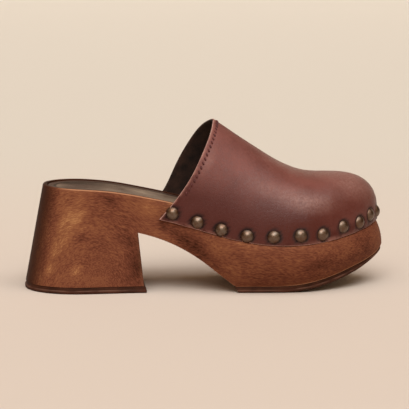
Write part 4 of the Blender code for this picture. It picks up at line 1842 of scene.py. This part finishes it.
@dataclass
class StudRow:
    """The domed nail heads along the upper's lower edge."""

    form: ShoeForm
    radius: float = 4.65
    height: float = 3.0
    skirt: float = 0.25
    sunk: float = 0.35
    steps: int = 32
    dome_rings: int = 9
    inner_stretch: float = 1.09
    probe_start: float = 8.0
    probe_reach: float = 20.0
    tilt: float = 0.05
    squash: Span = (0.97, 1.03)
    roll_inset: float = 0.25
    roll_rise: float = 0.2
    oval: float = 0.012
    ripple: float = 0.006
    sharp_angle: float = 60.0
    seed: int = 7

    def walk(self, side: Side) -> tuple[np.ndarray, np.ndarray]:
        """Walks the upper's lower edge from the collar to the toe tip.

        Args:
            side: the side of the shoe.

        Returns:
            The points in plan and the length so far at each.
        """
        form = self.form
        start = form.collar_x[side](0.0)
        ahead = form.edge[side][form.edge[side][:, 0] > start]
        points = np.vstack([[start, form.edge_y(start, side)], ahead])
        steps = np.hypot(*np.diff(points, axis=0).T)
        return points, np.concatenate([[0.0], np.cumsum(steps)])

    def seat(self, side: Side, share: float, height: float) -> StudSeat:
        """Finds a stud's seat on the smooth leather.

        Args:
            side: the side of the shoe.
            share: the share of the walk from collar to toe.
            height: the height above the lower edge.

        Returns:
            The seat.
        """
        points, walked = self.walk(side)

        def along(distance: float) -> Vector:
            """A point of the walk."""
            return Vector([np.interp(distance, walked, line) for line in points.T])

        at = share * walked[-1]
        tangent = along(min(at + self.radius, walked[-1])) - along(at - self.radius)
        out = Vector((-side.value * tangent.y, side.value * tangent.x, 0.0)).normalized()
        foot = along(at)
        return StudSeat(Vector((*foot, self.form.upper_edge_z(foot.x) + height)), out)

    def seats(self) -> list[StudSeat]:
        """Lists the seats of the outer side and the toe, then those of the inner side.

        Returns:
            The seats, in stud order.
        """
        seats = [self.seat(Side.OUTER, place.share, place.height) for place in STUD_ROW]
        first = STUD_ROW[0].share
        for place in STUD_ROW[-2::-1]:
            share = mix(first, place.share, self.inner_stretch)
            seats.append(self.seat(Side.INNER, share, place.height))
        return seats

    def build(self, finish: AntiqueBrass, leather: BVHTree) -> list[bpy.types.Object]:
        """Builds the studs on the finished leather.

        Args:
            finish: the studs' finish.
            leather: the leather's outer face, in drawing millimetres.

        Returns:
            The studs.
        """
        material = finish.make()
        chance = random.Random(self.seed)
        studs = []
        for number, seat in enumerate(self.seats(), start=1):
            above = seat.centre + seat.out * self.probe_start
            hit, _, _, _ = leather.ray_cast(above, -seat.out, self.probe_reach)
            base = (hit or seat.centre) - seat.out * self.sunk
            tilt = Vector([chance.uniform(-self.tilt, self.tilt) for _ in range(3)])
            axis = (seat.out + tilt).normalized()
            pose = Matrix.Translation(base) @ axis.to_track_quat("Z", "Y").to_matrix().to_4x4()
            maker = MeshMaker()
            self.turn(maker, pose, chance)
            stud = maker.finish(f"stud_head_{number:02d}", [material], self.sharp_angle)
            studs.append(fit(stud, Slot.BRASS, f"stud_{number:02d}"))
        return studs

    def turn(self, maker: MeshMaker, pose: Matrix, chance: random.Random) -> None:
        """Turns one nail head: a flat back, a rolled rim and a crowned dome.

        Args:
            maker: the stud's mesh.
            pose: where it sits.
            chance: the source of its small irregularities.
        """
        low = maker.layer("low")
        squash = chance.uniform(*self.squash)
        lump = chance.uniform(0.0, math.tau)
        profile = [(self.radius - self.roll_inset, 0.0, 1.0), (self.radius, self.roll_rise, 1.0)]
        profile.append((self.radius, self.skirt, 0.9))
        crown = self.height - self.skirt
        ball = (self.radius**2 + crown**2) / (2 * crown)
        widest = math.asin(self.radius / ball)
        for ring in range(1, self.dome_rings):
            turn = widest * (1 - ring / self.dome_rings)
            rise = self.skirt + ball * math.cos(turn) - ball + crown
            profile.append((ball * math.sin(turn), rise, (turn / widest) ** 6 * 0.8))
        rings = []
        for radius, z, depth in profile:
            ring = []
            for step in range(self.steps):
                angle = math.tau * step / self.steps
                uneven = 1 + self.oval * math.sin(2 * angle + lump)
                uneven += self.ripple * math.sin(5 * angle - lump)
                x, y = radius * uneven * math.cos(angle), radius * uneven * math.sin(angle)
                vert = maker.vertex(pose @ Vector((x, y, z * squash)))
                vert[low] = depth
                ring.append(vert)
            rings.append(ring)
        maker.stack(rings)
        back = maker.vertex(pose @ Vector((0.0, 0.0, 0.0)))
        tip = maker.vertex(pose @ Vector((0.0, 0.0, self.height * squash)))
        back[low] = 1.0
        for step in range(self.steps):
            after = (step + 1) % self.steps
            maker.face(rings[0][step], rings[0][after], back)
            maker.face(rings[-1][step], rings[-1][after], tip)


class Crease(NamedTuple):
    """A soft trough or ridge in the leather, along a line between two points of its face."""

    start: Position
    end: Position
    width: float
    depth: float


CREASES = (
    Crease((30.0, -28.0, 93.0), (52.0, 2.0, 88.0), 7.0, -0.35),
    Crease((46.0, -34.0, 78.0), (66.0, -4.0, 82.0), 6.0, -0.4),
    Crease((40.0, -32.0, 84.0), (59.0, -2.0, 86.0), 6.0, 0.25),
    Crease((-22.0, -33.0, 60.0), (2.0, -40.0, 66.0), 5.0, -0.3),
    Crease((92.0, -33.0, 50.0), (88.0, -31.0, 62.0), 4.0, -0.35),
    Crease((103.0, -22.0, 53.0), (98.0, -21.0, 64.0), 3.6, -0.35),
    Crease((113.0, -9.0, 55.0), (108.0, -9.0, 66.0), 3.4, -0.3),
)


class Distances(NamedTuple):
    """How far each point of the leather is from its edges and from the studs."""

    rim: np.ndarray
    collar: np.ndarray
    stud: np.ndarray


@dataclass
class Upper:
    """The leather upper: a wall over the last, with its lining and its cut edges."""

    form: ShoeForm
    stations: int = 92
    rows: int = 46
    ribs: int = 72
    pucker_depth: float = 0.65
    pucker_reach: float = 5.8
    swell: float = 0.2
    swell_radius: float = 11.0
    swell_width: float = 4.5
    swell_reach: float = 9.0
    stitch_inset: float = STITCH_INSET
    groove: float = 0.3
    groove_width: float = 0.9
    drift: float = 0.22
    drift_size: float = 24.0
    calm_reach: float = 12.0
    calm_share: float = 0.15
    lips: tuple[tuple[float, float], ...] = ((-9.0, 15.0), (84.0, 14.0))
    edge_wave: float = 0.35
    edge_wave_size: float = 13.0
    edge_wave_reach: float = 2.5
    edge_wave_shift: Position = (5.0, 0.0, 0.0)
    edge_bulge: float = 0.45
    edge_shares: tuple[float, ...] = (0.12, 0.35, 0.65, 0.88)
    rim_lip_reach: float = 1.1
    collar_rub: float = 0.8
    lip_least: float = 0.15
    ring_radius: float = 5.1
    ring_fade: float = 0.85
    sharp_angle: float = 60.0
    covers: tuple[str, ...] = ("upper",)

    def lay_out(self) -> tuple[list[list[int]], np.ndarray]:
        """Lays out the outer face over the last.

        Returns:
            The columns of point numbers, from the outer collar round the toe to the inner collar,
            each from the lower edge to the ridge or the pole, and the points.
        """
        form = self.form
        shares = [row / self.rows for row in range(self.rows + 1)]
        points: list[Position] = []

        def add(position: Position) -> int:
            """Keeps a point and returns its number."""
            points.append(position)
            return len(points) - 1

        def section(back: float, side: Side) -> list[Position]:
            """One side's points at a share of the way from the pole back to the collar."""
            stations = [mix(form.pole_x, form.collar_x[side](share), back) for share in shares]
            return [form.last_point(x, share, side) for x, share in zip(stations, shares)]

        outer_columns = []
        inner_columns = []
        for k in range(self.stations + 1):
            back = 1 - k / self.stations
            outer = [add(position) for position in section(back, Side.OUTER)]
            inner = [add(position) for position in section(back, Side.INNER)[:-1]]
            outer_columns.append(outer)
            inner_columns.append([*inner, outer[-1]])
        pole = outer_columns[-1][-1]
        fan = []
        for k in range(1, self.ribs):
            angle = math.pi * (k / self.ribs - 0.5)
            fan.append([*[add(form.toe_point(angle, share)) for share in shares[:-1]], pole])
        return [*outer_columns, *fan, *inner_columns[::-1]], np.array(points)

    @staticmethod
    def normals(columns: Sequence[Sequence[int]], points: np.ndarray) -> np.ndarray:
        """Finds the outward normals of the face.

        Args:
            columns: the columns of point numbers.
            points: the points.

        Returns:
            One unit normal for each point.
        """
        total = np.zeros_like(points)
        for first, second in zip(columns, columns[1:]):
            a, b = np.array(first), np.array(second)
            span = np.cross(points[b[1:]] - points[a[:-1]], points[a[1:]] - points[b[:-1]])
            for corner in (a[:-1], a[1:], b[:-1], b[1:]):
                np.add.at(total, corner, span)
        return total / np.linalg.norm(total, axis=1)[:, None]

    @staticmethod
    def nearest(points: np.ndarray, line: np.ndarray) -> np.ndarray:
        """The distance from each point to the nearest point of a line."""
        return np.array([np.linalg.norm(line - point, axis=1).min() for point in points])

    def relief(self, points: np.ndarray, away: Distances) -> np.ndarray:
        """Works out how far the leather stands off the smooth last.

        Args:
            points: the face's points.
            away: their distances from the edges and the studs.

        Returns:
            The relief at each point.
        """
        off_seam = (away.collar - self.stitch_inset) / self.groove_width
        relief = -self.groove * np.exp(-(off_seam**2))
        relief -= self.pucker_depth * np.exp(-((away.stud / self.pucker_reach) ** 2))
        swollen = np.exp(-(((away.stud - self.swell_radius) / self.swell_width) ** 2))
        relief += self.swell * swollen * np.exp(-((away.rim / self.swell_reach) ** 2))
        quiet = np.clip(away.collar / self.calm_reach, self.calm_share, 1.0)
        for i, point in enumerate(points):
            relief[i] += self.drift * quiet[i] * fractal.noise(Vector(point) / self.drift_size)
        for crease in CREASES:
            start, end = np.array(crease.start), np.array(crease.end)
            along = end - start
            share = np.clip((points - start) @ along / (along @ along), 0.0, 1.0)
            aside = np.linalg.norm(points - start - share[:, None] * along, axis=1)
            fade = np.sin(np.pi * (0.15 + 0.7 * share))
            relief += crease.depth * fade * np.exp(-((aside / crease.width) ** 2))
        return relief

    def edge_waves(self, points: np.ndarray, from_rim: np.ndarray) -> np.ndarray:
        """Works out how far the cut lower edge waves up and down.

        Args:
            points: the face's points.
            from_rim: their distances from the lower edge.

        Returns:
            The rise at each point.
        """
        shift = Vector(self.edge_wave_shift)
        waves = [fractal.noise(Vector(point) / self.edge_wave_size + shift) for point in points]
        return self.edge_wave * np.array(waves) * np.exp(-((from_rim / self.edge_wave_reach) ** 2))

    def mark(
        self,
        outside: Sequence[bmesh.types.BMVert],
        layers: Sequence[Any],
        places: np.ndarray,
        away: Distances,
    ) -> None:
        """Marks what the finish reads.

        Args:
            outside: the outer face's vertices.
            layers: the layers for the edges' wear and painted highlight, the distance from the rim
                and the rings of painted shade round the studs.
            places: the smooth face's points.
            away: their distances from the edges and the studs.
        """
        rubbed, above, stud_shaded = layers
        for vert, spot, low, high, near in zip(outside, places, *away):
            # The lower edge is lightened as wear with a painted highlight, most at the lips, and
            # the collar as wear.
            bumps = [math.exp(-(((spot[0] - centre) / reach) ** 2)) for centre, reach in self.lips]
            lip = self.lip_least + (1 - self.lip_least) * max(bumps)
            at_rim = lip * math.exp(-((low / self.rim_lip_reach) ** 2))
            vert[rubbed] = max(at_rim, math.exp(-((high / self.collar_rub) ** 2)))
            vert[above] = low
            # A ring of painted shade just outside each stud's rim.
            vert[stud_shaded] = math.exp(-((max(near - self.ring_radius, 0.0) / self.ring_fade) ** 2))

    def build(
        self, finish: OxbloodLeather, seats: Sequence[StudSeat]
    ) -> tuple[bpy.types.Object, BVHTree, np.ndarray]:
        """Builds the upper as one closed wall.

        Args:
            finish: the leather's finish.
            seats: the studs' seats.

        Returns:
            The piece, its outer face in drawing millimetres, and the collar's line on it.
        """
        columns, smooth = self.lay_out()
        normals = self.normals(columns, smooth)
        collar = [*columns[0], *columns[-1][-2::-1]]
        away = Distances(
            rim=self.nearest(smooth, smooth[[column[0] for column in columns]]),
            collar=self.nearest(smooth, smooth[collar]),
            stud=self.nearest(smooth, np.array([seat.centre for seat in seats])),
        )
        face = smooth + normals * self.relief(smooth, away)[:, None]
        face[:, 2] += self.edge_waves(smooth, away.rim)
        lining = smooth - normals * self.form.leather

        maker = MeshMaker()
        layers = [maker.layer(name) for name in ("rubbed", "from_rim", "stud_ring")]
        outside = maker.ring(face)
        inside = maker.ring(lining)
        self.mark(outside, layers, smooth, away)
        quads = []
        for first, second in zip(columns, columns[1:]):
            for sheet, place in ((outside, Wall.FACE), (inside, Wall.LINING)):
                near, far = [sheet[n] for n in first], [sheet[n] for n in second]
                maker.bridge(near, far, closed=False, place=place.value)
            for k in range(self.rows):
                quads.append((first[k], second[k], second[k + 1], first[k + 1]))
        border = [*[column[0] for column in columns], *columns[-1][1:], *columns[0][-2:0:-1]]
        self.bind(maker, border, face, lining, outside, inside)
        tree = BVHTree.FromPolygons([Vector(point) for point in face], quads)
        materials = [finish.make(), LINING.make(), CUT_EDGE.make()]
        upper = maker.finish("upper_leather", materials, self.sharp_angle)
        return fit(upper, Slot.LEATHER, *self.covers), tree, face[collar]

    def bind(
        self,
        maker: MeshMaker,
        border: Sequence[int],
        face: np.ndarray,
        lining: np.ndarray,
        outside: Sequence[bmesh.types.BMVert],
        inside: Sequence[bmesh.types.BMVert],
    ) -> None:
        """Closes the wall along its border with a rounded cut edge.

        Args:
            maker: the upper's mesh.
            border: the point numbers round the border.
            face: the outer face's points.
            lining: the inner face's points.
            outside: the outer face's vertices.
            inside: the inner face's vertices.
        """
        loops = [[outside[n] for n in border]]
        centre = 0.5 * (face + lining)
        for share in self.edge_shares:
            bulge = self.edge_bulge * math.sqrt(1 - (2 * share - 1) ** 2)
            loop = []
            for i, n in enumerate(border):
                before, after = border[i - 1], border[(i + 1) % len(border)]
                along = centre[after] - centre[before]
                away = np.cross(along, face[n] - lining[n])
                away /= max(float(np.linalg.norm(away)), 1e-9)
                loop.append(maker.vertex(mix(face[n], lining[n], share) + away * bulge))
            loops.append(loop)
        loops.append([inside[n] for n in border])
        for i, (first, second) in enumerate(zip(loops, loops[1:])):
            maker.bridge(first, second, place=(Wall.CUT_EDGE if i < 2 else Wall.LINING).value)


THREAD_SHAPE = ((-0.5, 0.55), (-0.36, 0.9), (-0.15, 1.0), (0.15, 1.0), (0.36, 0.9), (0.5, 0.55))


@dataclass
class CollarStitching:
    """The row of thread along the collar."""

    inset: float = STITCH_INSET
    pitch: float = 3.3
    length: float = 2.8
    radius: float = 0.66
    slant: float = 38.0
    low_end: float = 25.0
    bow: float = 0.45
    dip: float = 4.2
    tangent_reach: float = 1.5
    ridge_half: float = 4.0
    steps: int = 8
    sharp_angle: float = 60.0

    def build(
        self, material: bpy.types.Material, leather: BVHTree, collar: np.ndarray
    ) -> bpy.types.Object:
        """Builds the stitches as one piece.

        Args:
            material: the thread.
            leather: the leather's outer face, in drawing millimetres.
            collar: the collar's line, from the outer corner over the ridge to the inner corner.

        Returns:
            The piece.
        """
        steps = np.linalg.norm(np.diff(collar, axis=0), axis=1)
        walked = np.concatenate([[0.0], np.cumsum(steps)])

        def along(distance: float) -> Vector:
            """A point of the collar's line."""
            return Vector([float(np.interp(distance, walked, line)) for line in collar.T])

        maker = MeshMaker()
        run = walked[-1] - 2 * self.low_end
        count = int(run / self.pitch)
        for k in range(count + 1):
            at = self.low_end + run * k / count
            edge = along(at)
            forward = (along(at + self.tangent_reach) - along(at - self.tangent_reach)).normalized()
            _, normal, _, _ = leather.find_nearest(edge)
            on_ridge = abs(edge.y) < self.ridge_half
            outward = normal if normal.y * edge.y > 0 or on_ridge else -normal
            inward = forward.cross(outward).normalized()
            if inward.x < 0:
                inward = -inward
            spot, _, _, _ = leather.find_nearest(edge + inward * self.inset)
            slant = math.radians(self.slant if edge.y < 0 else -self.slant)
            turn = Matrix.Rotation(slant, 3, outward)
            self.stitch(maker, spot, turn @ forward, outward)
        return fit(maker.finish("collar_stitching", [material], self.sharp_angle), Slot.LEATHER)

    def stitch(self, maker: MeshMaker, spot: Vector, along: Vector, out: Vector) -> None:
        """Adds one stitch: a bowed thread whose ends dip into the leather.

        Args:
            maker: the stitches' mesh.
            spot: its middle on the leather.
            along: its direction.
            out: the leather's outward normal.
        """
        across = along.cross(out).normalized()
        rings = []
        for share, width in THREAD_SHAPE:
            rise = self.radius * (self.bow - self.dip * share * share)
            middle = spot + along * (share * self.length) + out * rise
            ring = []
            for step in range(self.steps):
                angle = math.tau * step / self.steps
                offset = across * math.cos(angle) + out * math.sin(angle)
                ring.append(maker.vertex(middle + offset * (self.radius * width)))
            rings.append(ring)
        maker.stack(rings)
        maker.face(*rings[0])
        maker.face(*rings[-1])


class Silk(NamedTuple):
    """A wide even light, like a round silk stretched far from the shoe."""

    name: str
    azimuth: float
    elevation: float
    spread: float
    strength: float
    colour: Colour


SILKS = (
    Silk("key_silk", -8.0, 47.0, 40.0, 1.75, (0.95, 0.98, 0.97)),
    Silk("side_silk", 60.0, 60.0, 30.0, 0.45, (0.95, 0.98, 0.97)),
    Silk("wide_silk", 0.0, 50.0, 120.0, 1.25, (1.0, 0.81, 0.56)),
    Silk("top_silk", 0.0, 72.0, 60.0, 1.08, (0.79, 0.93, 1.08)),
)


@dataclass
class Studio:
    """The paper sweep, the lights and the camera."""

    aim: Position = (-1.266, 0.551, 56.2)
    azimuth: float = -5.0
    elevation: float = 8.3
    roll: float = 0.3
    distance: float = 1500.0
    frame_width: float = 285.0
    sensor: float = 36.0
    sweep_width: float = 12000.0
    sweep_front: float = -5000.0
    sweep_back: float = 4500.0
    sweep_round: float = 1500.0
    sweep_height: float = 3500.0
    sweep_step: int = 6
    sharp_angle: float = 40.0
    clip_end: float = 100.0
    ambient: Colour = (1.0, 0.58, 0.29)
    ambient_strength: float = 0.21

    def build(self, paper: StudioPaper) -> None:
        """Builds the studio round the shoe.

        Args:
            paper: the sweep's finish.
        """
        self.sweep(paper)
        for silk in SILKS:
            self.light(silk)
        self.world()
        self.camera()
        bpy.context.scene.view_settings.view_transform = "Standard"

    def sweep(self, paper: StudioPaper) -> None:
        """Lays the paper: a floor that curves up into a backdrop.

        Args:
            paper: its finish.
        """
        profile = [(self.sweep_front, 0.0), (0.0, 0.0), (self.sweep_back, 0.0)]
        for degrees in range(self.sweep_step, 91, self.sweep_step):
            turn = math.radians(degrees)
            rise = self.sweep_round * (1 - math.cos(turn))
            profile.append((self.sweep_back + self.sweep_round * math.sin(turn), rise))
        profile.append((self.sweep_back + self.sweep_round, self.sweep_height))
        maker = MeshMaker()
        half = self.sweep_width / 2
        left = maker.ring((-half, y, z) for y, z in profile)
        right = maker.ring((half, y, z) for y, z in profile)
        maker.bridge(left, right, closed=False)
        floor = maker.finish("paper_sweep", [paper.make()], self.sharp_angle)

    def light(self, silk: Silk) -> None:
        """Hangs one light.

        Args:
            silk: the light.
        """
        lamp = bpy.data.lights.new(silk.name, "SUN")
        lamp.angle = math.radians(silk.spread)
        lamp.energy = silk.strength
        lamp.color = silk.colour
        hung = bpy.data.objects.new(silk.name, lamp)
        shining = -self.bearing(silk.azimuth, silk.elevation)
        hung.rotation_euler = shining.to_track_quat("-Z", "Y").to_euler()
        bpy.context.scene.collection.objects.link(hung)

    @staticmethod
    def bearing(azimuth: float, elevation: float) -> Vector:
        """Turns a bearing into a direction.

        Args:
            azimuth: degrees round the shoe, 0 to its outer side and 90 to its toe.
            elevation: degrees above the floor.

        Returns:
            The direction.
        """
        turn, lift = math.radians(azimuth), math.radians(elevation)
        flat = math.cos(lift)
        return Vector((math.sin(turn) * flat, -math.cos(turn) * flat, math.sin(lift)))

    def world(self) -> None:
        """Sets the soft light that comes from all round."""
        world = bpy.data.worlds.new("soft_room")
        world.use_nodes = True
        background = world.node_tree.nodes["Background"]
        background.inputs["Color"].default_value = (*self.ambient, 1.0)
        background.inputs["Strength"].default_value = self.ambient_strength
        bpy.context.scene.world = world

    def camera(self) -> None:
        """Sets the camera at the product shot's angle."""
        back = self.bearing(self.azimuth, self.elevation)
        right = Vector((-back.y, back.x, 0.0)).normalized()
        roll = math.radians(self.roll)
        up = back.cross(right)
        turned_right = right * math.cos(roll) + up * math.sin(roll)
        turned_up = up * math.cos(roll) - right * math.sin(roll)
        lens = bpy.data.cameras.new("product_camera")
        lens.sensor_width = self.sensor
        lens.lens = self.sensor * self.distance / self.frame_width
        lens.clip_end = self.clip_end
        stand = bpy.data.objects.new("product_camera", lens)
        pose = Matrix((turned_right, turned_up, back)).transposed().to_4x4()
        pose.translation = (Vector(self.aim) + back * self.distance) * MM
        stand.matrix_world = pose
        bpy.context.scene.collection.objects.link(stand)
        bpy.context.scene.camera = stand


def main() -> None:
    """Builds the pieces in order, reports each, then builds the studio."""
    logging.basicConfig(level=logging.INFO, format="%(name)s: %(message)s")
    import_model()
    form = ShoeForm()
    rubber = TreadRubber().make()
    studs = StudRow(form)
    pieces = [
        WoodSole(form).build(StainedWood()),
        HeelTip(form).build(rubber),
        ForefootOutsole(form).build(rubber),
        Insole(form).build(SockLeather()),
    ]
    upper, leather, collar = Upper(form).build(OxbloodLeather(), studs.seats())
    pieces += [upper, CollarStitching().build(THREAD.make(), leather, collar)]
    pieces += studs.build(AntiqueBrass(), leather)
    for piece in pieces:
        LOG.info("%s: %d faces", piece.name, len(piece.data.polygons))
    Studio().build(StudioPaper())


if __name__ == "__main__":
    main()
